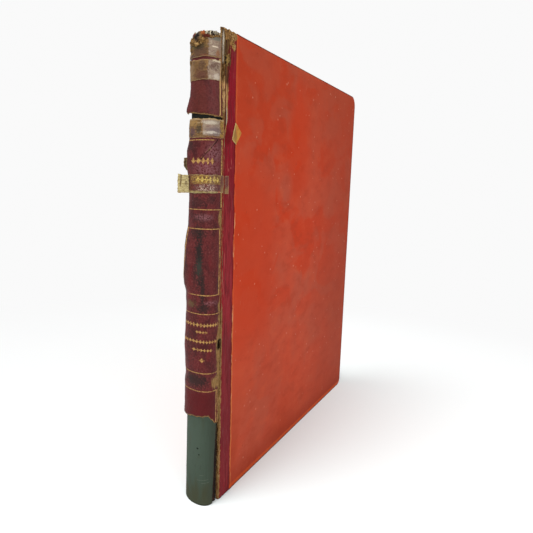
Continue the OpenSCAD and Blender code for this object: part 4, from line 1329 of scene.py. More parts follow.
LEATHER_LAY = (0.1, 0.9)
TAPE_LAY = (1.0, 1.2)
LOOSE_LAY = (1.1, 1.3)
LOOSE_ROOT, SCRAP_ROOT = 0.27, 0.13
LINING_EDGE = [(0, 0.94), (0.04, 0.955), (0.1, 0.985), (0.14, 1.01), (0.19, 1.05), (1, 1.05)]
MAIN_FOOT = [(0, 0), (0.3, 1.8), (0.44, 2.6), (0.7, 3.4), (0.78, 0.7), (0.9, -3), (1, -4)]
MAIN_REAR = [(0, 0.02), (0.7, 0.02), (0.74, 0.07), (0.8, 0.04), (0.92, 0.02), (1, 0.1)]
HEAD_FOOT = [(0, 3), (0.28, 2.2), (0.5, 1), (1, 0)]
HEAD_TOP = [(0, -5), (0.14, -1), (0.24, 1), (0.32, 2), (0.4, -0.5), (0.75, -0.5), (1, 1)]
HEAD_REAR = [(0, 0.03), (0.3, 0.06), (0.45, 0.15), (0.62, 0.14), (0.72, 0.11), (0.85, 0.11), (1, 0.1)]
HEAD_FRONT = [(0, 1.08), (0.3, 1.06), (0.6, 1), (0.85, 0.98), (1, 0.98)]


def above(table, z):
    return [(s, z + v) for s, v in table]


def flat(value):
    return [(0, value), (1, value)]


def wrinkles(u, z, size, seed):
    """Wrinkles and rubbed hollows of old leather or tape."""
    a = u * BEYOND
    return size * (0.6 * rumple(a, z, 5.5, seed) + 0.35 * rumple(a, z * 0.6, 2.1, seed + 1)
                   + 0.2 * rumple(a, z, 0.9, seed + 2))


def make_lining():
    """The green lining, bare at the foot and in the gap under the head piece."""
    grid = spine_grid(flat(0), flat(TORN_HEAD - 1), flat(0), LINING_EDGE, 0.9, (0, 0.3, 0.15, 0.3), 3)
    relief = wrinkles(*grid, 0.05, 71)
    piece = spine_sheet("lining_cloth", (-LINING_T, 0), grid, finish(lining_cloth), relief,
                        0.6, 0.6, lifted=False)
    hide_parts("spine_lining")


def make_main_leather():
    """The main piece of spine leather, torn at its foot, with a hole and a crack."""
    grid = spine_grid(above(MAIN_FOOT, BARE_FOOT), flat(BREAK_Z - BREAK_GAP), MAIN_REAR, flat(1.09), 0.45,
                      (1.0, 0.8, 0.9, 0.6), 11)
    u, z = grid
    relief = wrinkles(u, z, 0.16, 81)
    away = np.hypot((u - 1.06) / 0.055, (z - HOLE_Z) / 3.6) + 0.25 * rumple(u * BEYOND, z, 1.2, 9)
    split = np.abs(u - CRACK_U + (CRACK_Z - z) * CRACK_LEAN + 0.04 * rumple(u * BEYOND, z, 1.4, 14))
    split = np.where((z > 231.5) & (z < 244.5), split, 1)
    cut = np.minimum((away - 1) * 2.4, 0.7 + split * 14)
    middle = (away[:-1, :-1] + away[1:, 1:]) / 2
    piece = spine_sheet("torn_spine_leather", LEATHER_LAY, grid, finish(spine_leather, "main"),
                        relief, 0.2, 1.6, keep=middle > 1, cut=np.maximum(cut, 0.1))
    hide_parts("spine_leather")


def make_head_leather():
    """The piece of spine leather above the break, its top torn away."""
    grid = spine_grid(above(HEAD_FOOT, BREAK_Z), above(HEAD_TOP, TORN_HEAD), HEAD_REAR, HEAD_FRONT, 0.45,
                      (0.7, 1.1, 0.9, 0.5), 23)
    piece = spine_sheet("torn_head_leather", LEATHER_LAY, grid, finish(spine_leather, "head"),
                        wrinkles(*grid, 0.16, 91), 0.2, 1.4)
    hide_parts("head_leather")


def make_stuck_tapes():
    """The two tapes at the head and the one under the break."""
    crown_z = TORN_HEAD - 12.5
    head_z = crown_z - 13
    middle_z = BREAK_Z - BREAK_GAP - 11
    for name, node, z, width, u0, u1, bumpy, seed in (
        ("crown", "crown_tape", crown_z, TAPE_WIDTH, 0.17, 0.945, 0.5, 31),
        ("head", "head_tape", head_z, TAPE_WIDTH, 0.17, 0.945, 0.36, 41),
        ("middle", "middle_tape", middle_z, 11, 0.12, 1.08, 0.3, 51),
    ):
        grid = spine_grid(flat(z), flat(z + width), flat(u0), flat(u1), 0.4, (0.5, 0.6, 0.8, 0.3), seed)
        u = grid[0]
        relief = np.maximum(wrinkles(*grid, bumpy, seed), -0.05) * (0.35 + 0.65 * smooth((0.72 - u) / 0.2))
        piece = spine_sheet(f"{name}_repair_tape", TAPE_LAY, grid, finish(aged_tape, name), relief,
                            0.6, 0.8)
        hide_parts(node)


def make_loose_tapes():
    """The tape that stands off the spine, and the brown scrap above it."""
    grid = spine_grid([(0, LOOSE_Z), (1, LOOSE_Z + 0.8)], flat(LOOSE_Z + TAPE_WIDTH),
                      [(0, LOOSE_ROOT - 8 / BEYOND), (1, LOOSE_ROOT - 8 / BEYOND + 0.03)], flat(1.08), 0.4,
                      (0.3, 0.4, 0.7, 0.3), 61)
    piece = spine_sheet("loose_repair_tape", LOOSE_LAY, grid, finish(loose_tape),
                        wrinkles(*grid, 0.14, 61), 0.6, 0.6, place=flag_place(LOOSE_ROOT, 1.1), lifted=False)
    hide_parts("loose_tape")
    z = LOOSE_Z + 15.5
    grid = spine_grid(flat(z - 1), flat(z + 6.5), [(0, 0.1), (0.4, 0.06), (1, 0.07)], flat(0.2), 0.35,
                      (0.4, 0.5, 0.5, 0.3), 67)
    scrap = spine_sheet("brown_tape_scrap", TAPE_LAY, grid, finish(aged_tape, "scrap"),
                        wrinkles(*grid, 0.12, 67), 0.6, 0.6, place=flag_place(SCRAP_ROOT, 1.0), lifted=False)
    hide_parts("tape_scrap")


# Cover pieces

def siding_edge(z):
    """Where the siding starts at a height."""
    return JOINT_Y + SIDING_START - SIDING_LEAN * z / BOOK_H


def wrap_path(reach, step):
    """Round a board from inside to outside, from one turn-in to the other: x, z and outward direction."""
    inner, outer, r = BOARD_IN - SIDING_T, LEATHER_FACE, 0.42
    corners = [
        (inner, reach, (-1, 0)), (inner, r, (-1, 0)), (inner + r, 0, (0, -1)), (outer - r, 0, (0, -1)),
        (outer, r, (1, 0)), (outer, BOOK_H - r, (1, 0)), (outer - r, BOOK_H, (0, 1)), (inner + r, BOOK_H, (0, 1)),
        (inner, BOOK_H - r, (-1, 0)), (inner, BOOK_H - reach, (-1, 0)),
    ]
    rows = []
    for (x0, z0, n0), (x1, z1, n1) in zip(corners, corners[1:]):
        length = math.hypot(x1 - x0, z1 - z0)
        count = 4 if n0 != n1 else max(int(length / step), 1)
        for k in range(count):
            t = k / count
            if n0 != n1:
                angle = t * math.pi / 2
                way = [a * math.cos(angle) + b * math.sin(angle) for a, b in zip(n0, n1)]
                centre = (x0 - n0[0] * r, z0 - n0[1] * r)
                rows.append((centre[0] + way[0] * r, centre[1] + way[1] * r, *way))
            else:
                rows.append((mix(x0, x1, t), mix(z0, z1, t), *n0))
    rows.append((*corners[-1][:2], *corners[-1][2]))
    return np.array(rows)


def path_length(path):
    """Length run along a path at each of its points."""
    return np.concatenate([[0], np.cumsum(np.hypot(*np.diff(path[:, :2], axis=0).T))])


WORN_EDGE = [(0, 0.3), (0.2, 0.4), (0.5, 0.3), (0.77, 0.5), (0.81, 1), (0.83, 2.7), (0.88, 3.2), (0.92, 4),
             (0.945, 6), (0.97, 5), (1, 3)]


def make_strip(side):
    """The leather strip of a cover, wrapped over head and tail, pared where the siding laps over it."""
    front = side == "front"
    path = wrap_path(TURN_IN - 0.5, 0.55)
    z = path[:, 1]
    count = 34
    low = JOINT_Y + (lookup(z / BOOK_H, WORN_EDGE) if front else 0.1) + np.abs(tear(z, 0.9, 7 if front else 8))
    if not front:
        low = low + np.maximum(0, 9 - np.sqrt(np.maximum(81 - (z - BOOK_H + 9).clip(0) ** 2, 0)))
    high = siding_edge(z) + 1.9
    s = steps(count)[None, :] ** 1.15
    y = mix(low[:, None], high[:, None], s)
    zz = np.broadcast_to(z[:, None], y.shape)
    edge = y - low[:, None]
    lap = smooth((y - siding_edge(zz) + 0.35) / 0.4)
    thick = STRIP_T * (0.3 + 0.7 * smooth(edge / 1.0)) * (1 - 0.64 * lap)
    relief = 0.05 * rumple(y, zz, 3.2, 17) + 0.04 * rumple(y, zz * 0.35, 1.2, 18)
    worn_head = smooth((z[:, None] - 301) / 4) * smooth((JOINT_Y + 12 - y) / 3) if front else 0
    relief = relief + worn_head * 0.5 * np.maximum(rumple(y, path_length(path)[:, None], 1.3, 19) + 0.1, -0.3)
    sign = SIGNS[side]

    def place(_, across, out):
        centre = path[:, None, :]
        x = centre[..., 0] + centre[..., 2] * out
        up = centre[..., 1] + centre[..., 3] * out
        return points_of(sign * x, across, up)

    outer_face = (path[:, 2] > 0.5)[:, None]
    top = np.where(outer_face, thick + relief * (1 - lap) * smooth(edge),
                   STRIP_T * np.where(lap > 0.5, 0.36, 1) + worn_head * relief) - STRIP_T
    piece = shell(f"{side}_leather_strip", place, zz, y, np.minimum(top, 0.03 + 0.5 * worn_head), -STRIP_T,
                  COVERS[side], finish(cover_leather, side),
                  marks={"edge": edge, "across": y - JOINT_Y})
    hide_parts(f"{side}_leather")


def wear_corners(work):
    """Rounds a cover's corners at the fore edge further, as handling has worn them."""
    for end, way, radius in ((BOOK_H, 1, WORN_HEAD_R), (0, -1, WORN_FOOT_R)):
        for cut in (1, 0.85, 0.7, 0.6):
            for at, normal in (
                ((0, FORE_Y - radius * cut, 0), (0, 1, 0)), ((0, 0, end - way * radius * cut), (0, 0, 1)),
            ):
                bmesh.ops.bisect_plane(work, geom=work.verts[:] + work.edges[:] + work.faces[:],
                                       plane_co=Vector(at) * MM, plane_no=normal, dist=1e-7)
        straight = 1 - CORNER_R / radius
        for vert in work.verts:
            a = (vert.co.y / MM - FORE_Y) / radius + 1
            b = way * (vert.co.z / MM - end) / radius + 1
            if a <= 0 or b <= 0:
                continue
            far = math.hypot(a, b)
            edge = far / max(a, b)
            if min(a, b) / max(a, b) > straight:
                middle = straight * (a + b) / far
                edge = middle + math.sqrt(middle ** 2 - 2 * straight ** 2 + (1 - straight) ** 2)
            vert.co.y = (FORE_Y + (a / edge - 1) * radius) * MM
            vert.co.z = (end + way * (b / edge - 1) * radius) * MM


def worn_copy(node):
    """A copy of a CAD piece of a cover, with its corners worn."""
    work = bmesh.new()
    work.from_mesh(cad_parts[node].data)
    bmesh.ops.remove_doubles(work, verts=work.verts, dist=1e-6)
    bmesh.ops.dissolve_limit(work, angle_limit=math.radians(1), verts=work.verts, edges=work.edges)
    wear_corners(work)
    return work


def put_in_order(parts, key):
    """Sorts the points or faces of a worked copy by several numbers, so that every run has the same order."""
    place = {part: k for k, part in enumerate(sorted(parts, key=key))}
    parts.sort(key=lambda part: place[part])
    parts.index_update()


def settle_copy(work, name, side, surface):
    """Turns a worked copy into a piece on its cover."""
    bmesh.ops.triangulate(work, faces=[f for f in work.faces if len(f.verts) > 4])
    put_in_order(work.verts, lambda v: v.co[:])
    put_in_order(work.faces, lambda f: [v.index for v in f.verts])
    mesh = bpy.data.meshes.new(name)
    work.to_mesh(mesh)
    work.free()
    return settle(bpy.data.objects.new(name, mesh), COVERS[side], surface, 30)


def make_millboard(side):
    """The board inside a cover."""
    piece = settle_copy(worn_copy(f"{side}_board"), f"{side}_millboard", side, finish(pasteboard))
    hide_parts(f"{side}_board")


def make_siding(side):
    """The paper siding, its edges rounded by handling."""
    work = worn_copy(f"{side}_siding")
    sharp = [e for e in work.edges if len(e.link_faces) == 2 and e.calc_face_angle(0) > math.radians(50)]
    bmesh.ops.bevel(work, geom=sharp, offset=EDGE_ROUND * MM, segments=2, profile=0.5, affect="EDGES",
                    clamp_overlap=True)
    piece = settle_copy(work, f"{side}_paper_siding", side, finish(siding_paper, side))
    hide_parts(f"{side}_siding")


def make_flake():
    """The kite of amber tape on the front cover."""
    corners = [(8.5, -3.6), (13.1, -6.8), (19.9, 1.7), (12, 6.8)]
    s, q = shares(34, 30)
    low = [mix(corners[0][k], corners[1][k], s) for k in (0, 1)]
    high = [mix(corners[3][k], corners[2][k], s) for k in (0, 1)]
    y, z = (mix(a, b, q) for a, b in zip(low, high))
    rim = np.minimum(np.minimum(s, 1 - s) * 8.5, np.minimum(q, 1 - q) * 11)
    fray = smooth(1 - rim / 0.8)
    y = y + fray * tear(z, 0.5, 3)
    z = z + fray * tear(y, 0.5, 6)
    base = SIDING_FACE + 0.24
    curl = 0.25 * smooth(1 - rim / 2.2) * (0.4 + 0.6 * rumple(y, z, 3, 2) ** 2)
    under = base + curl
    top = under + 0.16 + 0.05 * rumple(y, z, 2, 5)
    piece = shell("amber_tape_flake", front_face, JOINT_Y + y, BOOK_H - 60.5 + z, top, under, FRONT,
                  finish(amber_tape), marks={"edge": rim})
    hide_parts("tape_flake")


def make_remnant():
    """The loose tape's other end, on the cover's leather strip."""
    s, q = shares(14, 32)
    y = mix(mix(0.9, 1.2, q), mix(5.3, 5.1, q), s)
    z = mix(mix(0, 0.3, s), mix(11.1, 11.5, s), q)
    edge = np.minimum(np.minimum(s, 1 - s) * 4.2, np.minimum(q, 1 - q) * 11.5)
    fray = smooth(1 - edge / 0.6)
    y = y + fray * tear(z, 0.4, 13)
    z = z + fray * tear(y * 2, 0.4, 16)
    under = LEATHER_FACE + 0.04 + 0.02 * rumple(y, z, 1.5, 6) + 0.02
    piece = shell("tape_remnant_patch", front_face, JOINT_Y + y, LOOSE_Z + z, under + 0.14, under, FRONT,
                  finish(aged_tape, "remnant"), marks={"edge": edge, "share": 1.15})
    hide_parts("tape_remnant")


def make_board_edge(side):
    """The bare spine edge of a board, chewed into fibres."""
    sign = SIGNS[side]
    top = BOOK_H - (0.4 if side == "front" else 9.5)
    q, s = np.meshgrid(steps(700), steps(9), indexing="ij")
    z = mix(0.4, top, q)
    x = mix(BOARD_IN + 0.05, BOARD_OUT + 0.1, s)
    proud = 0.1 + 0.22 * (0.5 + 0.5 * rumple(x * 2, z, 1.1, 21)) + 0.3 * np.maximum(rumple(x, z, 3.4, 22), 0)
    proud = proud * smooth(np.minimum(s, 1 - s) * 5 + 0.25)

    def place(a, b, out):
        return points_of(sign * b, JOINT_Y - out, a)

    shell(f"{side}_board_edge_fibres", place, z, x, proud, -0.12, COVERS[side],
          finish(board_edge), marks={"edge": proud})


def make_joint_skin():
    """Flesh and glue left on the front board where the leather has torn away under the head."""
    q, s = np.meshgrid(steps(200), steps(16), indexing="ij")
    z = mix(251, BOOK_H - 0.5, q)
    wide = lookup(z / BOOK_H, WORN_EDGE) + 0.7
    y = mix(0.05 + 0.15 * np.abs(tear(z, 1, 33)), wide, s)
    relief = 0.1 + 0.1 * np.abs(rumple(y * 1.6, z * 0.4, 0.9, 34)) + 0.08 * rumple(y, z, 2.4, 35)
    edge = np.minimum(s * wide, (1 - s) * wide)
    shell("joint_skin", front_face, JOINT_Y + y, z, BOARD_OUT + np.maximum(relief, 0.05), BOARD_OUT - 0.05,
          FRONT, finish(torn_skin), marks={"edge": edge})


def make_crumb(name, centre, size, bulge, seed, kind, top_z=BOOK_H + 0.3):
    """A torn crumb of leather standing on the front cover, or with the dark kind a patch of painted shadow beside one.
    centre and size are across and up, in millimetres.
    """
    s, q = np.meshgrid(np.linspace(-1.2, 1.2, 34), np.linspace(-1.2, 1.2, 46))
    y, z = centre[0] + s * size[0], centre[1] + q * size[1]
    away = np.hypot(s, q) + 0.3 * rumple(y, z, max(size) * 0.55, seed) + 0.12 * rumple(y, z, 0.5, seed + 1)
    keep = (away[:-1, :-1] + away[1:, 1:]) / 2 < 1
    z = np.minimum(z, top_z)
    full = np.sqrt(np.clip(1 - away**2, 0, 1))
    base = LEATHER_FACE - 0.12
    top = base + 0.1 + bulge * full * (0.75 + 0.45 * rumple(y, z, 1.1, seed + 2)) + 0.1 * rumple(y, z, 0.5, seed + 3)
    shell(name, front_face, JOINT_Y + y, z, np.maximum(top, base + 0.1), base, FRONT,
          finish(crumpled, kind), keep=keep)


def make_head_sleeve():
    """The turned-in leather at the front cover's head, torn off short of the spine and open towards it."""
    knee = [(LEATHER_FACE + 0.02, BOOK_H - 6.5), (LEATHER_FACE + 0.06, BOOK_H - 3), (LEATHER_FACE, BOOK_H - 0.9),
            (LEATHER_FACE - 0.6, BOOK_H - 0.12), (LEATHER_FACE - 1.5, BOOK_H), (BOARD_IN + 0.4, BOOK_H - 0.1),
            (BOARD_IN - 0.2, BOOK_H - 0.6), (BOARD_IN - 0.3, BOOK_H - 2), (BOARD_IN - 0.25, BOOK_H - 4)]
    t = steps(44)
    grid = steps(len(knee))
    path = np.stack([np.interp(t, grid, [p[k] for p in knee]) for k in (0, 1)], -1)
    normal = path_normals(path)
    normal = normal * np.sign(normal[20, 1] or 1)
    reach = lookup(t, [(0, 0.2), (0.12, 0.7), (0.25, 2.1), (0.4, 3.2), (0.55, 3.6), (0.75, 3.0), (1, 2.2)])
    reach = reach + tear(t * 14, 0.7, 44)
    s = steps(22)
    y = mix(JOINT_Y - reach[:, None], JOINT_Y + 1.2, s[None, :])
    tt = np.broadcast_to(t[:, None], y.shape)
    edge = (y - y[:, :1])
    lump = 0.16 * rumple(y, tt * 14, 1.3, 45) + 0.1 * rumple(y, tt * 14, 0.6, 46)
    lump = lump - 0.5 * smooth(1 - edge / 1.6) * (tt > 0.3) * (0.4 + 0.6 * rumple(y, tt * 14, 2, 47))

    def place(_, b, out):
        x = path[:, :1] + normal[:, :1] * out
        z = path[:, 1:] + normal[:, 1:] * out
        return points_of(x, b, np.minimum(z, BOOK_H + 0.25))

    thick = 0.22 + 0.2 * smooth(edge / 1.2)
    shell("head_turn_in_sleeve", place, tt, y, lump + 0.05, lump + 0.05 - thick, FRONT,
          finish(crumpled, "cap"), marks={"edge": edge})


def make_head_tuft():
    """Crumpled scraps of leather and tape standing up at the head of the spine."""
    for name, foot, top, u0, u1, bumpy, seed, holes in (
        ("head_tuft_scraps", 297.4, [(0, 299.5), (0.2, 302), (0.42, 303.4), (0.62, 304.6), (0.8, 305.4), (0.93, 305.6),
                                     (1, 303.4)], 0.2, 0.62, 1.0, 101, -2),
        ("crown_torn_lip", 301.6, [(0, 302.6), (0.3, 303.8), (0.5, 303.2), (0.8, 304.2), (1, 304.6)], 0.5, 0.97, 0.35,
         111, -2),
        ("crown_edge_crumbs", 286.5, flat(300.5), 0.16, 0.36, 0.5, 121, 0.1),
    ):
        grid = spine_grid([(0, foot + 1.6), (0.5, foot), (1, foot + 2)], top, flat(u0), flat(u1), 0.3,
                          (1.2, 1.4, 1.4, 0.8), seed)
        u, z = grid
        a = u * BEYOND
        bumps = 0.7 * rumple(a, z, 2.6, seed) + 0.5 * rumple(a, z, 1.1, seed + 1) + 0.25 * rumple(a, z, 0.55, seed + 2)
        relief = bumpy * (0.55 + bumps) * mix(0.3, 1, smooth((u - 0.22) / 0.2))
        there = bumps - (u - 0.2) * 3 * (holes > -1)
        keep = (there[:-1, :-1] + there[1:, 1:]) / 2 > holes
        spine_sheet(name, (1.25, 1.5), grid, finish(crumpled, "tuft"), np.maximum(relief, 0.02), 0.5,
                    0.5, keep=keep)


def make_crown_fringe():
    """Dark shreds of leather standing over the crown's torn edge."""
    s, q = np.meshgrid(np.linspace(-1, 1, 5), steps(12))
    for k, (at, tall) in enumerate(((0.655, 2.0), (0.73, 2.6), (0.768, 3.0), (0.806, 2.4), (0.846, 3.1), (0.888, 2.5))):
        u = at + 0.012 - 0.03 * q + 0.004 * ragged(q * 4, 1, 130 + k) + s * 0.015 * (1.2 - q)
        z = 302.4 + q * (tall + 0.6)
        out = 0.6 + 0.5 * q + 0.15 * ragged(q * 3, 1, 140 + k)
        shell(f"crown_fringe_{k + 1}", spine_place, u, z, out + 0.22, out, BLOCK,
              finish(crumpled, "dark"), marks={"share": u})


def make_joint_shred(name, low, high, kind):
    """Mull torn along the front joint, between the spine and the leaves: glue-stained at the head, and near-black at
    the foot, where it is painted shade in the open joint.
    """
    inside = spine_place(np.linspace(0.99, 0.78, 9), 0, -1.32)[:, :2]
    plan = np.concatenate([[(9.75, 11.0), (10.3, 10.3), (10.55, 9.4), (10.3, 8.6)], inside])
    normal = path_normals(plan)
    q, s = np.meshgrid(steps(60), steps(len(plan)), indexing="ij")
    z = mix(low, high, q)

    def place(a, _, out):
        at = plan[None, :, :] + normal[None, :, :] * out[..., None]
        return np.concatenate([np.broadcast_to(at, (*a.shape, 2)), a[..., None]], -1)

    out = 0.08 * rumple(s * 9, z, 1.5, 51) + 0 * z
    shell(name, place, z, s, out + 0.1, out - 0.1, BLOCK, finish(crumpled, kind))


def make_hinge_paper(side):
    """The endpaper's fold in a joint, from the leaves' shoulder round to the board."""
    sign = SIGNS[side]
    bend = [(9.2, 22), (9.2, 16), (9.21, 12.6), (9.22, 11.7)]
    bend += [(9.22 + 0.14 * t, 11.7 - 0.4 * math.sin(math.pi * t)) for t in np.linspace(0.08, 0.92, 12)]
    bend += [(9.36, 11.7), (9.37, 12.6), (9.37, 14.5)]
    path = np.array(bend)
    zs = np.linspace(LEAVES_LOW + 1.2, LEAVES_HIGH - 1.2, 40)
    normals = path_normals(path)
    points, faces = band_mesh(path * (sign, 1), normals * (sign, 1), 0.012, zs)
    flesh = np.repeat([0.0, 1.0], len(path) * len(zs))
    piece = new_piece(f"{side}_endpaper_hinge", points, faces, None, finish(hinge_paper),
                      {"flesh": flesh})
    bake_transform(piece)


def make_fibres(length):
    """Strands along the torn edges of the spine leather and the front board."""
    tree = fibres_tree()
    zs = np.arange(64, 136, 0.7)
    side_line = spine_place(1.085 + tear(zs, 0.02, 41), zs, 0.6)
    us = np.linspace(0.1, 1.05, 60)
    foot_z = lookup((us - 0.02) / 1.07, above(MAIN_FOOT, BARE_FOOT)) + 0.3
    foot_line = spine_place(us, foot_z, 0.3 + lift(us, foot_z))
    us2 = np.linspace(0.25, 1.0, 50)
    head_z = lookup((us2 - 0.1) / 0.9, above(HEAD_TOP, TORN_HEAD)) - 0.2
    head_line = spine_place(us2, head_z, 0.5 + lift(us2, head_z))
    base = line_mesh("spine_fibre_lines", [
        (side_line, (0.9, -0.1, 0.0)), (foot_line, (0.1, -0.3, -0.9)), (head_line, (0.3, -0.6, 0.5)),
    ])
    values = {"Length": length * MM, "Spacing": 0.00075}
    tree.grow("spine_torn_fibres", base, values, BLOCK, "spine_leather", finish(fibre_tan), 60)
    edges = [(np.stack([np.full_like(zs, x) + 0.15 * ragged(zs, 2, 5), np.full_like(zs, JOINT_Y - 0.15), zs], -1), way)
             for zs in (np.arange(1.5, 134, 0.6), np.arange(262, 300, 0.6))
             for x, way in ((BOARD_OUT, (0.5, -0.9, 0.1)), ((BOARD_IN + BOARD_OUT) / 2, (0.0, -1.0, 0.1)))]
    base = line_mesh("front_fibre_lines", edges)
    tree.grow("front_torn_fibres", base, {**values, "Spacing": 0.0009, "Seed": 19}, FRONT, "cover_leather",
              finish(fibre_tan), 60)


def dress_node(node, surface):
    """Gives a carried-over solid its finish."""
    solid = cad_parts[node]
    solid.data.materials.clear()
    solid.data.materials.append(surface)


# What a user may change

class BookSizes(bpy.types.PropertyGroup):
    leaf_count: IntProperty(name="Leaves", description="Number of leaves in the block", default=90, min=18, max=180)
    leaf_uneven: FloatProperty(name="Uneven leaves", description="How unevenly the leaves' edges lie",
                               default=0.00035, min=0, max=0.001, unit="LENGTH")
    fibre_length: FloatProperty(name="Fibre length", description="Length of the strands along torn edges, in mm",
                                default=0.9, min=0.2, max=3)
    floor_size: FloatProperty(name="Floor", description="Width of the floor", default=8, min=2, unit="LENGTH")
    lamp_level: FloatProperty(name="Lamp level", description="Strength of the studio lamps", default=1.0, min=0)
    world_level: FloatProperty(name="Surrounding light", description="Strength of the even light", default=0.37, min=0)


class BookColours(bpy.types.PropertyGroup):
    floor: FloatVectorProperty(name="Floor", description="Colour of the floor", subtype="COLOR", size=3,
                               default=(0.855, 0.888, 0.885), min=0, max=1)


# Operators, one for each piece or group of like pieces

class BOOK_OT_block(bpy.types.Operator):
    """Makes the leaves and the folded backs of the sections"""
    bl_idname = "book.block"
    bl_label = "Leaves and Folds"

    def execute(self, context):
        sizes = context.scene.book_sizes
        half = edge_of("front_pastedown", 0, 0) - 0.2
        start = JOINT_Y + 3.9
        base = bpy.data.objects.new("leaf_base", bpy.data.meshes.new("leaf_base"))
        leaves = leaves_tree().grow("stacked_leaves", base, {
            "Count": sizes.leaf_count, "Thickness": 2 * half * MM, "Start": start * MM,
            "Length": (LEAVES_Y - start) * MM, "Foot": LEAVES_LOW * MM, "Height": (LEAVES_HIGH - LEAVES_LOW) * MM,
            "Unevenness": sizes.leaf_uneven,
        }, BLOCK, "leaves", finish(leaf_paper))
        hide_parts("text_block")
        make_section_folds(5)
        return {"FINISHED"}


class BOOK_OT_spine(bpy.types.Operator):
    """Makes the spine lining and the two torn pieces of spine leather"""
    bl_idname = "book.spine"
    bl_label = "Spine Lining and Leather"

    def execute(self, context):
        make_lining()
        make_main_leather()
        make_head_leather()
        make_head_tuft()
        make_crown_fringe()
        # At the foot the shred is near-black: a sheet of painted shade in the open joint
        make_joint_shred("foot_joint_shade_sheet", 0.25, 68, "dark")
        make_joint_shred("head_mull_shred", 252, 304.5, "glue")
        return {"FINISHED"}


class BOOK_OT_tapes(bpy.types.Operator):
    """Makes the repair tapes, the scrap, the flake and the remnant"""
    bl_idname = "book.tapes"
    bl_label = "Old Tapes"

    def execute(self, context):
        make_stuck_tapes()
        make_loose_tapes()
        make_flake()
        make_remnant()
        return {"FINISHED"}


class BOOK_OT_covers(bpy.types.Operator):
    """Makes the sidings, leather strips and worn board edges of both covers"""
    bl_idname = "book.covers"
    bl_label = "Covers"

    def execute(self, context):
        for side in ("front", "rear"):
            make_millboard(side)
            make_siding(side)
            make_strip(side)
            make_board_edge(side)
        make_joint_skin()
        make_head_sleeve()
        for name, centre, size, bulge, seed, kind in (
            ("head_corner_crumb_1", (7.8, 303.6), (1.7, 4.6), 0.8, 3, "cap"),
            ("head_corner_crumb_2", (9.8, 301.4), (1.3, 2.2), 0.6, 5, "cap"),
            ("head_corner_crumb_3", (4.6, 306.8), (3.4, 2.6), 0.7, 7, "cap"),
            ("head_corner_crumb_4", (9.6, 307.6), (3.4, 1.9), 0.5, 9, "cap"),
            ("joint_crumb", (1.9, 292.6), (2.3, 3.2), 0.8, 11, "olive"),
            ("joint_crumb_shadow", (0.2, 292.6), (0.8, 2.4), 0.5, 13, "dark"),
        ):
            make_crumb(name, centre, size, bulge, seed, kind)
        return {"FINISHED"}


class BOOK_OT_hinges(bpy.types.Operator):
    """Makes the folds of endpaper in the joints"""
    bl_idname = "book.hinges"
    bl_label = "Endpaper Hinges"

    def execute(self, context):
        make_hinge_paper("front")
        make_hinge_paper("rear")
        return {"FINISHED"}


class BOOK_OT_fibres(bpy.types.Operator):
    """Makes the loose strands along torn edges"""
    bl_idname = "book.fibres"
    bl_label = "Torn Fibres"

    def execute(self, context):
        make_fibres(context.scene.book_sizes.fibre_length)
        return {"FINISHED"}


class BOOK_OT_inner(bpy.types.Operator):
    """Gives the endpapers, mull and cords their finishes"""
    bl_idname = "book.inner"
    bl_label = "Boards and Endpapers"

    def execute(self, context):
        for node, make in (
            ("sewing_cords", cord_fibre), ("spine_mull", mull_cloth),
            ("front_mull_flap", mull_cloth), ("rear_mull_flap", mull_cloth),
            ("front_pastedown", pastedown_paper), ("rear_pastedown", pastedown_paper),
        ):
            dress_node(node, finish(make))
        return {"FINISHED"}


def look_at(thing, at, way, up):
    """Turns a lamp or camera to face along a direction."""
    way, up = Vector(way).normalized(), Vector(up)
    right = way.cross(up).normalized()
    turn = Matrix((right, right.cross(way), -way)).transposed()
    thing.matrix_world = Matrix.Translation(at) @ turn.to_4x4()


def soft_light(name, source, strength, spread):
    """Even light from a wide part of the sky, coming from a direction."""
    light = bpy.data.lights.new(name, "SUN")
    light.energy, light.angle = strength, math.radians(spread)
    piece = bpy.data.objects.new(name, light)
    bpy.context.scene.collection.objects.link(piece)
    look_at(piece, source, -Vector(source), (0, 0, 1))


FLOOR_GLOW, BACKDROP = 0.04, 0.955


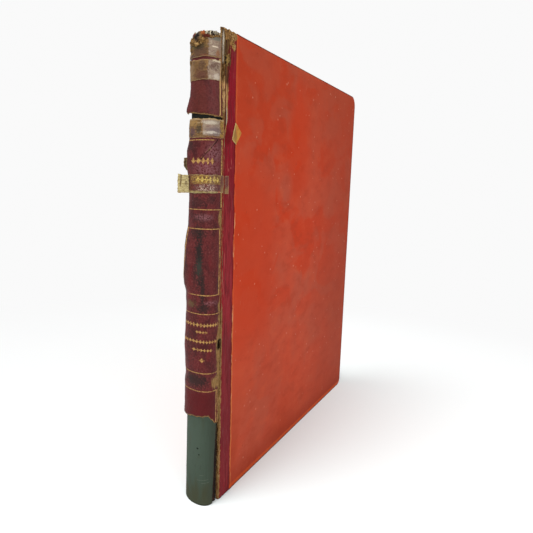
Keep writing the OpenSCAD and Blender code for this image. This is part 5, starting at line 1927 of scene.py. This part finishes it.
class BOOK_OT_stage(bpy.types.Operator):
    """Makes the floor, the studio light and the camera"""
    bl_idname = "book.stage"
    bl_label = "Stage"

    def execute(self, context):
        scene = context.scene
        sizes, colours = scene.book_sizes, scene.book_colours
        f = Finish("Studio floor")
        seen = f.add("ShaderNodeLightPath", out=None)
        direct = Wire(f.tree, seen.outputs["Is Camera Ray"])
        shown = direct.most(Wire(f.tree, seen.outputs["Is Glossy Ray"])).most(
            Wire(f.tree, seen.outputs["Is Transmission Ray"]))
        matte = f.add("ShaderNodeBsdfDiffuse", {"Color": (*colours.floor, 1), "Roughness": 1.0})
        glow = f.add("ShaderNodeEmission", {"Color": (1, 1, 1, 1), "Strength": FLOOR_GLOW})
        plain = f.add("ShaderNodeBsdfDiffuse", {"Color": (0.6, 0.6, 0.6, 1)})
        lit = f.add("ShaderNodeAddShader", {0: matte, 1: glow})
        far_off = f.rise((f.x * f.x + f.y * f.y).root(), 60, 640)
        open_floor = f.add("ShaderNodeEmission", {"Color": (1, 1, 1, 1), "Strength": BACKDROP})
        pale = f.add("ShaderNodeMixShader", {"Fac": far_off, 1: lit, 2: open_floor})
        both = f.add("ShaderNodeMixShader", {"Fac": shown, 1: plain, 2: pale})
        f.add("ShaderNodeOutputMaterial", {"Surface": both}, out=None)
        half = sizes.floor_size / 2
        mesh = bpy.data.meshes.new("studio_floor")
        mesh.from_pydata([(x, y, -0.00002) for x, y in ((-half, -half), (half, -half), (half, half), (-half, half))],
                         [], [(0, 1, 2, 3)])
        mesh.materials.append(f.material)
        floor = bpy.data.objects.new("studio_floor", mesh)
        scene.collection.objects.link(floor)

        world = bpy.data.worlds.new("Studio")
        scene.world = world
        world.use_nodes = True
        tree = world.node_tree
        tree.nodes.clear()
        w = Finish.__new__(Finish)
        w.tree = tree
        path = w.add("ShaderNodeLightPath", out=None)
        white = w.add("ShaderNodeBackground", {"Color": (1, 1, 1, 1), "Strength": BACKDROP})
        soft = w.add("ShaderNodeBackground", {"Color": (1, 1, 1, 1), "Strength": sizes.world_level})
        blended = w.add("ShaderNodeMixShader", {"Fac": Wire(tree, path.outputs["Is Camera Ray"]), 1: soft, 2: white})
        w.add("ShaderNodeOutputWorld", {"Surface": blended}, out=None)

        level = sizes.lamp_level
        soft_light("key", (-0.45, -0.95, 1.75), 2.65 * level, 50)
        soft_light("fill", (1.3, -0.6, 0.2), 1.4 * level, 60)

        camera = bpy.data.cameras.new("camera")
        camera.lens, camera.sensor_width = CAMERA_LENS, 36
        camera.clip_start, camera.clip_end = 0.01, 50
        eye = bpy.data.objects.new("camera", camera)
        scene.collection.objects.link(eye)
        look_at(eye, CAMERA_AT, CAMERA_WAY, CAMERA_UP)
        scene.camera = eye
        scene.view_settings.view_transform = "Standard"
        return {"FINISHED"}


class BOOK_PT_panel(bpy.types.Panel):
    bl_idname = "BOOK_PT_panel"
    bl_label = "Worn Book"
    bl_space_type = "VIEW_3D"
    bl_region_type = "UI"
    bl_category = "Book"

    def draw(self, context):
        for step in STEPS:
            self.layout.operator(step.bl_idname)
        for group in (context.scene.book_sizes, context.scene.book_colours):
            for key in group.__annotations__:
                self.layout.prop(group, key)


STEPS = (BOOK_OT_block, BOOK_OT_spine, BOOK_OT_tapes, BOOK_OT_covers, BOOK_OT_hinges, BOOK_OT_fibres, BOOK_OT_inner,
         BOOK_OT_stage)
CLASSES = (BookSizes, BookColours, *STEPS, BOOK_PT_panel)


def register():
    for cls in CLASSES:
        bpy.utils.register_class(cls)
    bpy.types.Scene.book_sizes = PointerProperty(type=BookSizes)
    bpy.types.Scene.book_colours = PointerProperty(type=BookColours)


def unregister():
    del bpy.types.Scene.book_colours
    del bpy.types.Scene.book_sizes
    for cls in reversed(CLASSES):
        bpy.utils.unregister_class(cls)


def main():
    register()
    for step in STEPS:
        group, name = step.bl_idname.split(".")
        getattr(getattr(bpy.ops, group), name)()
    bpy.context.view_layer.update()


if __name__ == "__main__":
    main()
